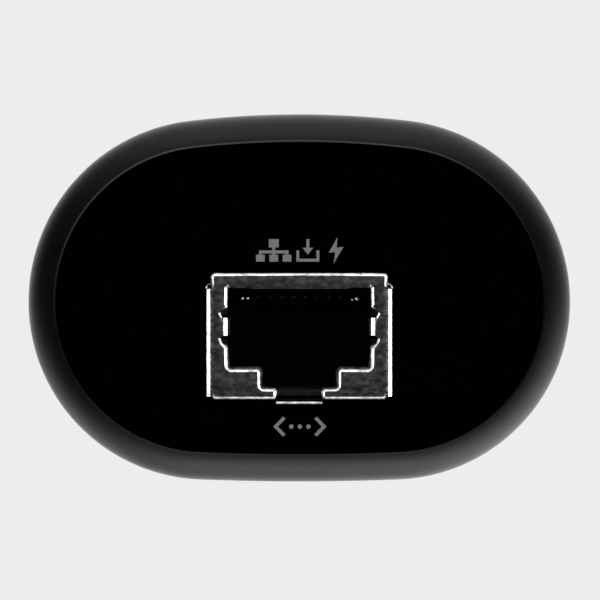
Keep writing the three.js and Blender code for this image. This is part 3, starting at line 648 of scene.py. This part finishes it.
def face_outline():
    """The right half of the socket face's edge, as (x, y, corner radius, edge width, lip width).

    It starts on the top edge's middle, goes round outside to the latch slot, and comes back along
    the opening. Edge width is how much of the sheet is rolled, lip width how far an inner flange
    stands out into the opening."""
    upper, lower = NOTCH_ROWS
    return [
        (0, FACE_FRONT, 0, 0.25, 0),
        (FACE_HALF + 0.12, FACE_FRONT, 0.35, 0.32, 0),
        (FACE_HALF + 0.12, -1.27, 0, 0.32, 0),
        (FACE_HALF, -1.13, 0, SHARP, 0),
        (FACE_HALF, FACE_REAR - 0.6, 0, SHARP, 0),
        (FACE_HALF, FACE_REAR, 0.27, 0.26, 0),
        (SLOT_HALF, FACE_REAR, 0.3, 0.26, 0),
        (SLOT_HALF, LATCH_REAR, 0.3, 0.26, 0.02),
        (LATCH_HALF, LATCH_REAR, 0.28, 0.26, 0.14),
        (LATCH_HALF, WAY_REAR, 0.31, 0.26, 0.2),
        (WAY_HALF, WAY_REAR, 0.3, 0.3, 0.16),
        (WAY_HALF, lower + 0.64, 0.36, 0.34, 0.02),
        (WAY_HALF + 0.38, lower + 0.37, 0.4, 0.26, 0),
        (WAY_HALF + 0.56, lower - 0.02, 0.3, 0.24, 0),
        (WAY_HALF + 0.57, lower - 0.12, 0.05, 0.02, 0),
        (WAY_HALF + 0.38, lower - 0.28, 0.06, SHARP, 0),
        (WAY_HALF + 0.36, upper + 0.64, 0, SHARP, 0),
        (WAY_HALF + 0.34, upper + 0.45, 0.26, 0.23, 0),
        (WAY_HALF + 0.56, upper + 0.03, 0.3, 0.24, 0),
        (WAY_HALF + 0.57, upper - 0.09, 0.05, 0.02, 0),
        (WAY_HALF + 0.45, upper - 0.31, 0.1, 0.02, 0),
        (WAY_HALF, upper - 0.39, 0.27, 0.2, 0),
        (WAY_HALF, upper - 0.75, 0, 0.34, 0),
        (WAY_HALF, WAY_FRONT, 0.08, 0.3, 0),
        (WAY_HALF - 0.2, WAY_FRONT, 0, SHARP, 0),
        (4.3, WAY_FRONT - 0.02, 0, SHARP, 0),
        (4, WAY_FRONT + 0.1, 0, SHARP, 0),
        (0, WAY_FRONT + 0.1, 0, SHARP, 0),
    ]


def rounded_with_widths(corners):
    """filleted() that carries each corner's widths along."""
    points = []
    count = len(corners)
    for i, (x, y, radius, width, lip) in enumerate(corners):
        before, after = corners[i - 1], corners[(i + 1) % count]
        trio = [(before[0], before[1], 0), (x, y, radius), (after[0], after[1], 0)]
        bend = filleted(trio, closed=False, steps=5)[1:-1]
        points += [(px, py, width, lip) for px, py in bend]
    return points


def shield_face():
    """The folded sheet round the opening: a loft over the face's edge, rolled back into the sheet."""
    points = rounded_with_widths(mirrored(face_outline()))
    outline = [(x, y) for x, y, _, _ in points]
    # (share of the edge width moved into the sheet, share of the drop, height added, share of the lip)
    levels = [(1, 0, 0, 0), (0.86, 0.06, 0, 0), (0.72, 0.2, 0, 0), (0.12, 0.95, 0, 0), (0, 1, 0.05, 0)]
    levels += [(0, 1, 0.14, 0), (0, 1, 0.15, 1), (0, 1, 0.45, 1)]
    rings = []
    for into, drop, extra, lip_share in levels:
        ring = []
        for i, (_, _, width, lip) in enumerate(points):
            x, y = offset_point(outline, i, width * into - lip * lip_share)
            ring.append((x, y, max(width * EDGE_DROP, LEAST_DROP) * drop + extra))
        rings.append(ring)
    return loft("shield_face", rings)


def strip_y(name, side, line, thickness, y_low, y_high, tilt=0.0):
    """A sheet strip on one side: a line in X and Z given thickness towards +Z, drawn out along Y.

    tilt shortens the strip's start where the line is farthest out, for a slanted end."""
    section = line + [(x, z + thickness) for x, z in reversed(line)]
    start, reach = min(line)[0], max(line)[0]
    rings = []
    for y, slant in ((y_low, tilt), (y_high, -tilt * 0.3)):
        rings.append([(side * x, y + slant * (x - start) / (reach - start), z) for x, z in section])
    return loft(name, rings)


def flare(start, reach, sense, steps=7):
    """The curve on which a spring leaves the socket's face: flat at first, then ever steeper."""
    away = [reach * k / steps for k in range(steps + 1)]
    return [(start + sense * distance, 0.01 + 0.89 * distance ** 1.8) for distance in away]


def side_spring(side):
    """The flared strip along the shield's side, which touches the end plate's opening."""
    reach = SHIELD[0][1]
    start = FACE_HALF - 0.03
    line = flare(start, 0.5, 1) + [(reach - 0.01, 0.36), (reach, 0.55), (reach, 1.3)]
    line += [(start + 0.2, 3.2), (start - 0.1, 5.5)]
    return strip_y("side_spring", side, line, 0.2, -1.12, 7.98, tilt=0.1)


def ground_spring(side):
    """The tab between two notches that presses on the plug's shield."""
    line = flare(WAY_HALF + 0.54, 0.5, -1)
    line += [(6.0, 0.32), (5.97, 0.45), (5.95, 1.0), (5.88, 3.0), (5.93, 3.6), (6.1, 4.1)]
    return strip_y("ground_spring", side, line, 0.16, 1.36, 2.84)


def shield_loop(side):
    """The small folded ear at the top of a side spring."""
    outer = [(-0.04, -1.2, 0.03), (0.06, -1.62, 0.08), (0.4, -1.42, 0.08), (0.5, -1.12, 0.04)]
    inner = [(0.06, -1.28, 0.03), (0.12, -1.46, 0.04), (0.3, -1.34, 0.04), (0.36, -1.2, 0.03)]
    start = FACE_HALF + 0.04
    rings = [[(side * (start + x), y, z) for x, y in filleted(outline, steps=4)]
             for outline, z in ((outer, 0.12), (inner, 0.24), (inner, 0.42), (outer, 0.42))]
    return loft("shield_loop", rings, wrap=True)


def latch_tab():
    """The rolled edge of the sheet behind the latch slot."""
    low, high = FACE_REAR + 0.1, SHIELD[1][1] + 0.04
    rim = filleted([(0.5, low + 0.05, 0), (0.06, low + 0.07, 0.03), (0.26, high, 0.03), (0.5, high, 0)],
                   closed=False, steps=4)
    return loft("latch_lip", [[(x, y, z) for z, y in rim] for x in (-LATCH_TAB_HALF, LATCH_TAB_HALF)])


def latch_floor():
    """The sheet that shows in the depth of the latch slot; its steel is painted dark as shade."""
    half = LATCH_TAB_HALF + 0.3
    floor = block("latch_floor", (-half, half), (LATCH_REAR + 0.1, FACE_REAR + 0.1), (0.62, 0.8))
    return bevelled(floor, 0.05, 2)


def shield_body():
    half, front, rear = FACE_HALF, FACE_FRONT, FACE_REAR
    middle, depth = (front + rear) / 2, (rear - front) / 2
    back = SHIELD[2][1]

    def ring(inset, z):
        outline = rounded_rectangle(half - inset, depth - inset, max(0.5 - inset, 0.1), 4)
        return [(x, y, z) for x, y in shifted(outline, 0, middle)]

    rings = [ring(SHEET, 0.62), ring(0.04, 0.62), ring(0, 0.7), ring(0, back - 0.2), ring(0.2, back)]
    rings += [ring(2, back), ring(2, back - SHEET), ring(SHEET, back - SHEET)]
    shell = loft("shield_body", rings, wrap=True)
    # The open middle of the back is closed by its own plate, and the board's side is open.
    outline = shifted(rounded_rectangle(half - 1.9, depth - 1.9, 0.1, 2), 0, middle)
    shell = fuse(shell, prism("cover", outline, back - SHEET, back - 0.01))
    open_side = block("open_side", (-half + 1, half - 1), (rear - 1, rear + 1), (3, back + 1))
    return cut(shell, open_side)


shield = together(
    "socket_shield", shield_face(), shield_body(), latch_tab(),
    *[maker(side) for side in (-1, 1) for maker in (side_spring, ground_spring, shield_loop)],
)
socket_metal = [piece(shield, shield_steel, "casing", ["jack_shield"], sharp=40)]
# The latch floor takes the steel that is painted dark as shade.
socket_metal.append(piece(latch_floor(), steel_darkened_as_shade, "casing"))


def guide_pins():
    """Four small round-ended pins beside the contacts, on the wall that the plug's pins face."""
    tip, end = 1.6, 9
    places = [(-4.84, -0.31, 0.17), (-4.38, -0.31, 0.15), (4.9, -0.27, 0.21), (4.5, -0.18, 0.11)]
    pins = []
    for x, y, radius in places:
        profile = arc(0, tip + radius, radius, -90, 0, 6) + [(radius, end), (0, end)]
        pins.append(placed(spun("pin", profile, 24), x, y))
    return together("socket_guide_pins", *pins)


socket_metal.append(piece(guide_pins(), nickel, "casing"))


# ---------------- rear pad, light, button

def mounting_pad():
    """The pad on the back, rounded outside and hollowed to the casing, with a strap's way through it."""
    (x_low, x_high), (_, face), (z_low, z_high) = PAD
    half_width, half_height = (x_high - x_low) / 2, (z_high - z_low) / 2
    round_edge = 0.8

    def ring(inset, y):
        corners = rounded_rectangle(half_width - inset, half_height - inset, 4 - inset)
        return [(x, y, z + PAD_Z) for x, z in corners]

    rings = [ring(0, 9)]
    rings += [ring(*point) for point in arc(round_edge, face - round_edge, round_edge, 180, 90, 8)]
    rings += [ring(round_edge + 0.4, face)]
    pad = loft("rear_pad", rings)
    inside = prism("inside", oval(-0.1), PAD_Z - 40, PAD_Z + 40)
    strap = block("strap", (-20, 20), (REAR_DEPTH - 2, REAR_DEPTH + 1.9), (PAD_Z - 6.5, PAD_Z + 6.5))
    hole, recess, seat = 1.3, 2.65, face - 2.1
    way = [(0, 8), (hole, 8), (hole, seat), (recess, seat), (recess, face - 0.25)]
    way += [(recess + 0.3, face + 0.05), (recess + 0.3, face + 3), (0, face + 3)]
    return cut(pad, inside, strap, *[spun_y("way", way, 0, z) for z in PAD_SCREW_Z])


piece(mounting_pad(), casing_plastic, "casing", ["rear_mounting_pad"], sharp=28)


def screw_y(node, sense, head_radius, head_height, shank_radius):
    """A pan-head screw along Y with a cross recess; its head faces sense."""
    (x0, x1), (y0, y1), (z0, z1) = span(node)
    x, z = (x0 + x1) / 2, (z0 + z1) / 2
    top, end = (y1, y0) if sense > 0 else (y0, y1)

    def at(depth):
        return top - sense * depth

    seat = at(head_height)
    profile = [(0, at(0)), (head_radius * 0.6, at(0)), (head_radius * 0.85, at(0.12)),
               (head_radius * 0.97, at(0.35)), (head_radius, at(0.7)), (head_radius, seat),
               (shank_radius, seat)]
    pitch = 0.45
    turns = int((abs(end - seat) - 0.6) / pitch)
    for k in range(turns):
        root = seat - sense * (0.3 + pitch * k)
        profile += [(shank_radius * 0.86, root), (shank_radius, root - sense * pitch * 0.5)]
    profile += [(shank_radius * 0.8, end + sense * 0.2), (0, end)]
    screw = spun_y(node + "_shaped", profile, x, z, 48)
    arm, half_slot = head_radius * 0.58, 0.26
    deep = sorted((at(0.95), at(-1)))
    cross = [block("cross", (x - across, x + across), deep, (z - along, z + along))
             for across, along in ((arm, half_slot), (half_slot, arm))]
    return cut(screw, *cross)


for where in ("lower", "upper"):
    for kind, *sizes in (("pad_screw", 1, 2.4, 1.7, 1.05), ("board_screw", -1, 2.1, 1.3, 0.9)):
        node = f"{kind}_{where}"
        piece(screw_y(node, *sizes), screw_steel, "casing", [node])


def light_ring():
    outer, inner = LIGHT[0][1], span("badge_disc")[0][1] + 0.12
    face, stem = LIGHT[1]
    back = face + 1.5
    profile = [(0, back), (inner, back), (inner, face + 0.1), (inner + 0.1, face), (outer - 0.1, face),
               (outer, face + 0.1), (outer, back + 1.2), (1.5, back + 1.2), (1.5, stem), (0, stem)]
    return spun_y("status_ring", profile, 0, LIGHT_Z, 128)


def badge():
    (_, radius), (face, back), _ = span("badge_disc")
    profile = [(0, face + 0.16), (radius * 0.6, face + 0.11), (radius - 0.3, face + 0.03)]
    profile += [(radius - 0.1, face), (radius, face + 0.1), (radius, back), (0, back)]
    return spun_y("blank_badge", profile, 0, LIGHT_Z, 128)


def button():
    (_, reach), (inner, face), _ = BUTTON
    plunger, cap = 0.9, 1.45
    profile = [(0, inner), (plunger, inner), (plunger, inner + 0.25), (reach, inner + 0.25)]
    profile += [(reach, inner + 0.7), (cap, inner + 0.7), (cap, face - 0.2), (1.38, face - 0.06)]
    profile += [(1.22, face), (0.8, face - 0.03), (0, face - 0.12)]
    return spun_y("reset_cap", profile, 0, BUTTON_Z, 64)


piece(light_ring(), frosted_clear, "casing", ["status_light_guide"])
piece(badge(), casing_plastic, "casing", ["badge_disc"])
piece(button(), black_plastic, "reset", ["reset_button"])


# ---------------- antennas

# Each part is drawn on its antenna's own axis, within the limits of its CAD node.

THREAD_PITCH = 0.7056
PIVOT = (centre_of("left_hinge_pin").z - ORIGIN.z) / MM  # height of the folding joint's axis


def saw(t):
    """A triangle wave between 0 and 1."""
    return 1 - abs(2 * (t % 1) - 1)


def relief_tube(name, low, high, radius_at, bore, segments, rows):
    """A tube whose outside radius is radius_at(angle, height), with a plain bore."""
    rings = []
    for z in [low + (high - low) * k / rows for k in range(rows + 1)]:
        ring = []
        for angle in [2 * math.pi * i / segments for i in range(segments)]:
            radius = radius_at(angle, z)
            ring.append((radius * math.cos(angle), radius * math.sin(angle), z))
        rings.append(ring)
    rings += [[(x, y, z) for x, y in circle(bore, segments)] for z in (high, low)]
    return loft(name, rings, wrap=True)


def connector_body(name, limits):
    """The threaded barrel with its flange under the deck."""
    low, high = limits[2]
    radius, bore, depth = 3.15, 2.35, 0.3
    foot, flange_low, flange_high = CASE_TOP + 0.6, CASE_TOP - 4.4, CASE_TOP - 2.5
    flange, stem = 4.5, 1.6

    def thread(angle, z):
        fade = min(1, max(0, (high - 0.35 - z) / 0.4))
        cut_in = depth * saw(z / THREAD_PITCH - angle / (2 * math.pi)) ** 0.8
        return radius - cut_in * fade - depth * (1 - fade)

    barrel = relief_tube(name, foot, high, thread, bore, 64, 88)
    profile = [(0, low), (stem, low), (stem, flange_low), (flange - 0.1, flange_low)]
    profile += [(flange, flange_low + 0.1), (flange, flange_high), (radius, flange_high)]
    profile += [(radius, foot + 0.01), (bore, foot + 0.01), (bore, CASE_TOP + 0.5), (0, CASE_TOP + 0.5)]
    return together(name, barrel, spun("base", profile, 64))


def connector_nut(name, limits):
    """A thin hexagon nut with turned corners."""
    low, high = limits[2]
    reach, corner, flat, chamfer = 4.6, 4.75, 4.1, 0.35
    hexagon = [(reach * math.sin(k * math.pi / 3), reach * math.cos(k * math.pi / 3)) for k in range(6)]
    profile = [(0, low), (flat, low), (corner, low + chamfer), (corner, high - chamfer)]
    profile += [(flat, high), (0, high)]
    nut = combine(prism(name, hexagon, low, high), [spun("corners", profile)], "INTERSECT")
    return cut(nut, rod("bore", 3.3, low - 1, high + 1))


def coupling_nut(name, limits):
    """The nut that is turned by hand: diamond knurl between two plain bands."""
    (left, right), _, (low, high) = limits
    radius = (right - left) / 2 - 0.004
    depth, groove_depth = 0.34, 0.24

    def knurl(angle, z):
        edge = min(z - low, high - z)
        band = min(1, max(0, (edge - 0.85) / 0.25))
        around = angle * 32 / (2 * math.pi)
        up = (z - low) / 0.93
        peaks = (saw(around + up) + saw(around - up)) / 2
        chamfer = max(0, (0.4 if z < high - 1 else 0.55) - edge)
        groove = groove_depth if 0.62 < edge < 0.85 else 0
        return radius - band * depth * (1 - peaks) - chamfer - groove * (1 - band)

    shell = relief_tube(name, low, high, knurl, 3.4, 192, 108)
    bore, rim, bottom, top = 2.65, 3.45, high - 1.9, high - 0.02
    shoulder = spun("shoulder", [(bore, bottom), (rim, bottom), (rim, top), (bore, top), (bore, bottom)])
    return together(name, shell, shoulder)


def plug_ferrule(name, limits):
    """The turned plug body: a pin sleeve, a collar inside the nut, and the stem of the knuckle."""
    low, high = limits[2]
    sleeve, collar, stem = 2, 3.1, 2.35
    collar_low, bore_top = CASE_TOP + 8.85, CASE_TOP + 7.4
    collar_high = collar_low + 0.55
    corners = [(0, bore_top, 0), (1, bore_top, 0), (1, low, 0), (sleeve, low, 0.2), (sleeve, collar_low, 0)]
    corners += [(collar, collar_low, 0.1), (collar, collar_high, 0.1), (stem, collar_high, 0)]
    corners += [(stem, high, 0.2), (0, high, 0)]
    return spun(name, filleted(corners, closed=False, steps=3), 64)


def knuckle_base(name, limits):
    """The fork of the folding joint on its round post."""
    low, high = limits[2]
    cheek = high - PIVOT
    profile = [(0, low), (4.55, low), (4.8, low + 0.1), (4.95, low + 0.3), (5, low + 0.5), (5, high + 1)]
    post = spun(name, profile + [(0, high + 1)], 128)
    keep = rod_y("keep", cheek, -10, 10, 0, PIVOT, 128)
    keep = fuse(keep, block("below", (-10, 10), (-9, 9), (low - 1, PIVOT)))
    post = combine(post, [keep], "INTERSECT")
    slot = block("slot", (-10, 10), (-2.3, 2.3), (PIVOT - 5.2, PIVOT + 10))
    bore = rod("bore", 2.65, low - 1, CASE_TOP + 16.4)
    post = cut(post, slot, bore, rod_y("pin_way", 1.35, -10, 10, 0, PIVOT))
    return bevelled(post, 0.22, 3, 50)


def hinge_pin(name, limits):
    """A rivet across the fork, with a ring groove in both of its ends."""
    front, rear = limits[1]
    radius, inner, outer, deep = 1.2, 0.25, 0.5, 0.3
    profile = [(0, front + 0.02), (inner, front + 0.02), (inner, front + deep), (outer, front + deep)]
    profile += [(outer, front + 0.02), (radius - 0.25, front), (radius - 0.06, front + 0.08)]
    profile += [(radius, front + 0.25)]
    profile += [(r, front + rear - y) for r, y in reversed(profile)]
    return spun_y(name, profile, 0, PIVOT, 48)


def mast_foot(name, limits):
    """The tongue of the folding joint, its collar, and the plug in the mast."""
    _, high = limits[2]
    foot, collar_top = PIVOT + 5.7, PIVOT + 8.1
    tongue = rod_y(name, 4.5, -2, 2, 0, PIVOT, 96)
    tongue = fuse(tongue, block("neck", (-4.4, 4.4), (-1.98, 1.98), (PIVOT, foot + 1)))
    profile = [(0, foot), (4.5, foot), (4.8, foot + 0.08), (4.95, foot + 0.25), (5, foot + 0.5)]
    profile += [(5, collar_top - 0.3), (4.9, collar_top - 0.08), (4.7, collar_top), (3.7, collar_top)]
    profile += [(3.7, high - 0.5), (3.3, high), (0, high)]
    foot_shape = bevelled(fuse(tongue, spun("collar", profile, 128)), 0.12, 2, 50)
    pin_way = [(0, -3), (1.54, -3), (1.54, -2.02), (1.4, -1.88)]
    pin_way += [(radius, -y) for radius, y in reversed(pin_way)]
    return cut(foot_shape, spun_y("pin_way", pin_way, 0, PIVOT))


def mast_tube(name, limits):
    """The hollow mast: straight at its foot, then tapering to a round tip."""
    low, high = limits[2]
    base, foot, tip, bore = 5, 4.94, 4.3, 3.9
    taper, steps = low + 24, 9
    profile = [(0, high - 5), (3.2, high - 6), (bore, taper), (bore, low), (base - 0.3, low)]
    profile += [(base - 0.08, low + 0.08), (base, low + 0.3), (base, low + 21), (base - 0.01, low + 22)]
    shares = [k / steps for k in range(steps)]
    profile += [(foot + (tip - foot) * share, taper + (high - tip - taper) * share) for share in shares]
    return spun(name, profile + arc(0, high - tip, tip, 0, 90, 18), 128)


# (maker, CAD node, piece's name, finish, body, slot, sharp), each of them once on either side
ANTENNA_PARTS = [
    (connector_body, "connector_body", "threaded_barrel", nickel, "casing", "nickel", 50),
    (connector_nut, "connector_nut", "hexagon_nut", nickel, "casing", "nickel", 32),
    (plug_ferrule, "plug_ferrule", "ferrule_turned", nickel, "plug", "nickel", 32),
    (coupling_nut, "coupling_nut", "knurled_nut", nickel, "nut", "nickel", 50),
    (knuckle_base, "knuckle_base", "fork", casing_plastic, "knuckle", "casing", 32),
    (hinge_pin, "hinge_pin", "hinge_rivet", screw_steel, "knuckle", "steel", 32),
    (mast_foot, "mast_foot", "tongue", casing_plastic, "mast", "casing", 32),
    (mast_tube, "mast_tube", "mast", casing_plastic, "mast", "casing", 32),
]

for side, x in (("left", -ANTENNA_X), ("right", ANTENNA_X)):
    for maker, node, name, finish, body, slot, sharp in ANTENNA_PARTS:
        node = f"{side}_{node}"
        shape = placed(maker(f"{side}_{name}", span(node)), x)
        piece(shape, finish, body if body == "casing" else f"{side}_{body}", [node], sharp)


# ---------------- CAD nodes that stay

def keep_node(name, finish, width):
    """A CAD node as it is, with its finish and its edges broken by that width."""
    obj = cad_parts[name]
    obj.data.materials.clear()
    obj.data.materials.append(finish.material)
    weld = obj.modifiers.new("weld", "WELD")
    weld.merge_threshold = 1e-6
    if width:
        add_bevel(obj, width * MM, 2, 35)


# How wide each node's edges are broken, in millimetres.
KEPT_NODES = [
    (black_plastic, {"jack_housing": 0.08, "chassis_tray": 0.2}),
    (seal_rubber, {"top_seal": 0.2, "bottom_seal": 0.2}),
    (solder_mask, {"main_board": 0.1}),
    (chip_epoxy, {"network_transformer": 0.3, "power_inductor": 0.2}),
    (chip_epoxy, {"processor_chip": 0.1, "memory_chip": 0.1}),
    (copper, {"power_transformer": 0.3}),
    (aluminium, {"bulk_capacitor": 0, "heat_spreader": 0.12}),
    (tinned_can, {"radio_can_low_band": 0.1, "radio_can_high_band": 0.1, "reset_switch": 0.1}),
    (frosted_clear, {"status_light_chip": 0.1}),
    # The contacts and connector pins take the gold that is painted dark as shade.
    (gold, {f"jack_contact_{number}": 0.04 for number in range(1, 9)}),
    (gold, {f"{side}_connector_pin": 0.04 for side in ("left", "right")}),
    (copper, {f"{side}_radiating_element": 0 for side in ("left", "right")}),
    (coax_jacket, {f"{side}_antenna_lead": 0 for side in ("left", "right")}),
]

for finish, widths in KEPT_NODES:
    for node, width in widths.items():
        keep_node(node, finish, width)


# ---------------- camera, floor and light

# The camera looks straight up from this point, in the casing's millimetres.
VIEW_POINT = (0.06, -0.145, -260)


def add_camera():
    data = bpy.data.cameras.new("camera")
    data.sensor_width = 36
    data.lens = 185.7
    data.clip_start, data.clip_end = 0.02, 50
    camera = added("camera", data)
    camera.location = ORIGIN + Vector(VIEW_POINT) * MM
    camera.rotation_euler = (math.pi, 0, 0)
    bpy.context.scene.camera = camera


PALE = 0.8469  # the plain pale background
FLOOR_PALE = 0.88

# Soft light from all round, as broad lamps over an even base: degrees from +Z, degrees from +X,
# sharpness and strength. The socket's view looks along +Z, so a lamp past 90 degrees stands on the
# camera's side. The strongest ones are behind the node and to its right.
LAMPS = {
    "overhead": (0, 0, 2, 1.5),
    "behind_right": (80, 50, 4, 2.4),
    "behind_low": (110, 90, 9, 1.9),
    "behind_left": (75, 135, 7, 1.2),
    "front": (85, 270, 4, 0.8),
    "front_low": (128, 270, 12, 0.7),
    "front_right": (75, 315, 8, 0.6),
}
BASE_LIGHT = 0.04


def add_world():
    """The lamps' light on everything, and the plain pale background that the camera sees."""
    world = bpy.data.worlds.new("studio")
    bpy.context.scene.world = world
    world.use_nodes = True
    tree = world.node_tree
    tree.nodes.clear()

    def compute(operation, *inputs, kind="ShaderNodeMath", output=0):
        return new_node(tree, kind, dict(enumerate(inputs)), operation=operation).outputs[output]

    direction = new_node(tree, "ShaderNodeTexCoord").outputs["Generated"]
    total = BASE_LIGHT
    for polar, around, sharpness, strength in LAMPS.values():
        turn = Matrix.Rotation(math.radians(around), 3, "Z") @ Matrix.Rotation(math.radians(polar), 3, "Y")
        axis = turn @ Vector((0, 0, 1))
        facing = compute("DOT_PRODUCT", direction, axis, kind="ShaderNodeVectorMath", output="Value")
        lobe = compute("POWER", compute("MAXIMUM", facing, 0), sharpness)
        total = compute("MULTIPLY_ADD", lobe, strength, total)
    studio = new_node(tree, "ShaderNodeBackground", {"Strength": total})
    plain = new_node(tree, "ShaderNodeBackground", {"Color": (PALE, PALE, PALE, 1)})
    seen = new_node(tree, "ShaderNodeLightPath").outputs["Is Camera Ray"]
    mix = new_node(tree, "ShaderNodeMixShader", {0: seen, 1: studio.outputs[0], 2: plain.outputs[0]})
    new_node(tree, "ShaderNodeOutputWorld", {"Surface": mix.outputs[0]})
    world.cycles.sampling_method = "MANUAL"
    world.cycles.sample_map_resolution = 512


# A half circle of square lights round the socket's right, front and left, for its metal alone:
# degrees from +X towards the front, and watts.
METAL_LIGHTS = {0: 1.1, 45: 0.5, 90: 0.42, 135: 0.4, 180: 0.75}
METAL_LIGHT_DISTANCE, METAL_LIGHT_DEPTH, METAL_LIGHT_SIZE = 300, 130, 240


def add_metal_light(angle, power):
    turn, away = math.radians(angle), METAL_LIGHT_DISTANCE
    place = Vector((away * math.cos(turn), -away * math.sin(turn), -METAL_LIGHT_DEPTH))
    data = bpy.data.lights.new(f"strip_light_{angle}", "AREA")
    data.shape = "SQUARE"
    data.size = METAL_LIGHT_SIZE * MM
    data.energy = power
    light = added(data.name, data)
    light.location = ORIGIN + place * MM
    light.rotation_mode = "QUATERNION"
    light.rotation_quaternion = (-place).to_track_quat("-Z", "Y")
    light.visible_camera = False
    receivers = bpy.data.collections.new(data.name + "_receivers")
    for obj in socket_metal:
        receivers.objects.link(obj)
    light.light_linking.receiver_collection = receivers


def add_floor():
    """A pale floor under the node, which is seen from above only. The socket's view looks up past it."""
    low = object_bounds()[0].z - MM
    half = 6.0  # metres
    mesh = bpy.data.meshes.new("floor")
    corners = [(-half, -half, low), (half, -half, low), (half, half, low), (-half, half, low)]
    mesh.from_pydata(corners, [], [(0, 1, 2, 3)])
    floor = added("floor", mesh)
    paint = bpy.data.materials.new("pale_floor")
    paint.use_nodes = True
    tree = paint.node_tree
    tree.nodes.clear()
    matte = new_node(tree, "ShaderNodeBsdfDiffuse", {"Color": (FLOOR_PALE, FLOOR_PALE, FLOOR_PALE, 1)})
    clear = new_node(tree, "ShaderNodeBsdfTransparent")
    below = new_node(tree, "ShaderNodeNewGeometry").outputs["Backfacing"]
    mix = new_node(tree, "ShaderNodeMixShader", {0: below, 1: matte.outputs[0], 2: clear.outputs[0]})
    new_node(tree, "ShaderNodeOutputMaterial", {"Surface": mix.outputs[0]})
    mesh.materials.append(paint)
    floor.visible_shadow = False
    floor.visible_glossy = False
    floor.visible_diffuse = False


add_camera()
add_world()
for angle, power in METAL_LIGHTS.items():
    add_metal_light(angle, power)
add_floor()

scene = bpy.context.scene
scene.view_settings.view_transform = "Standard"
scene.view_settings.look = "None"
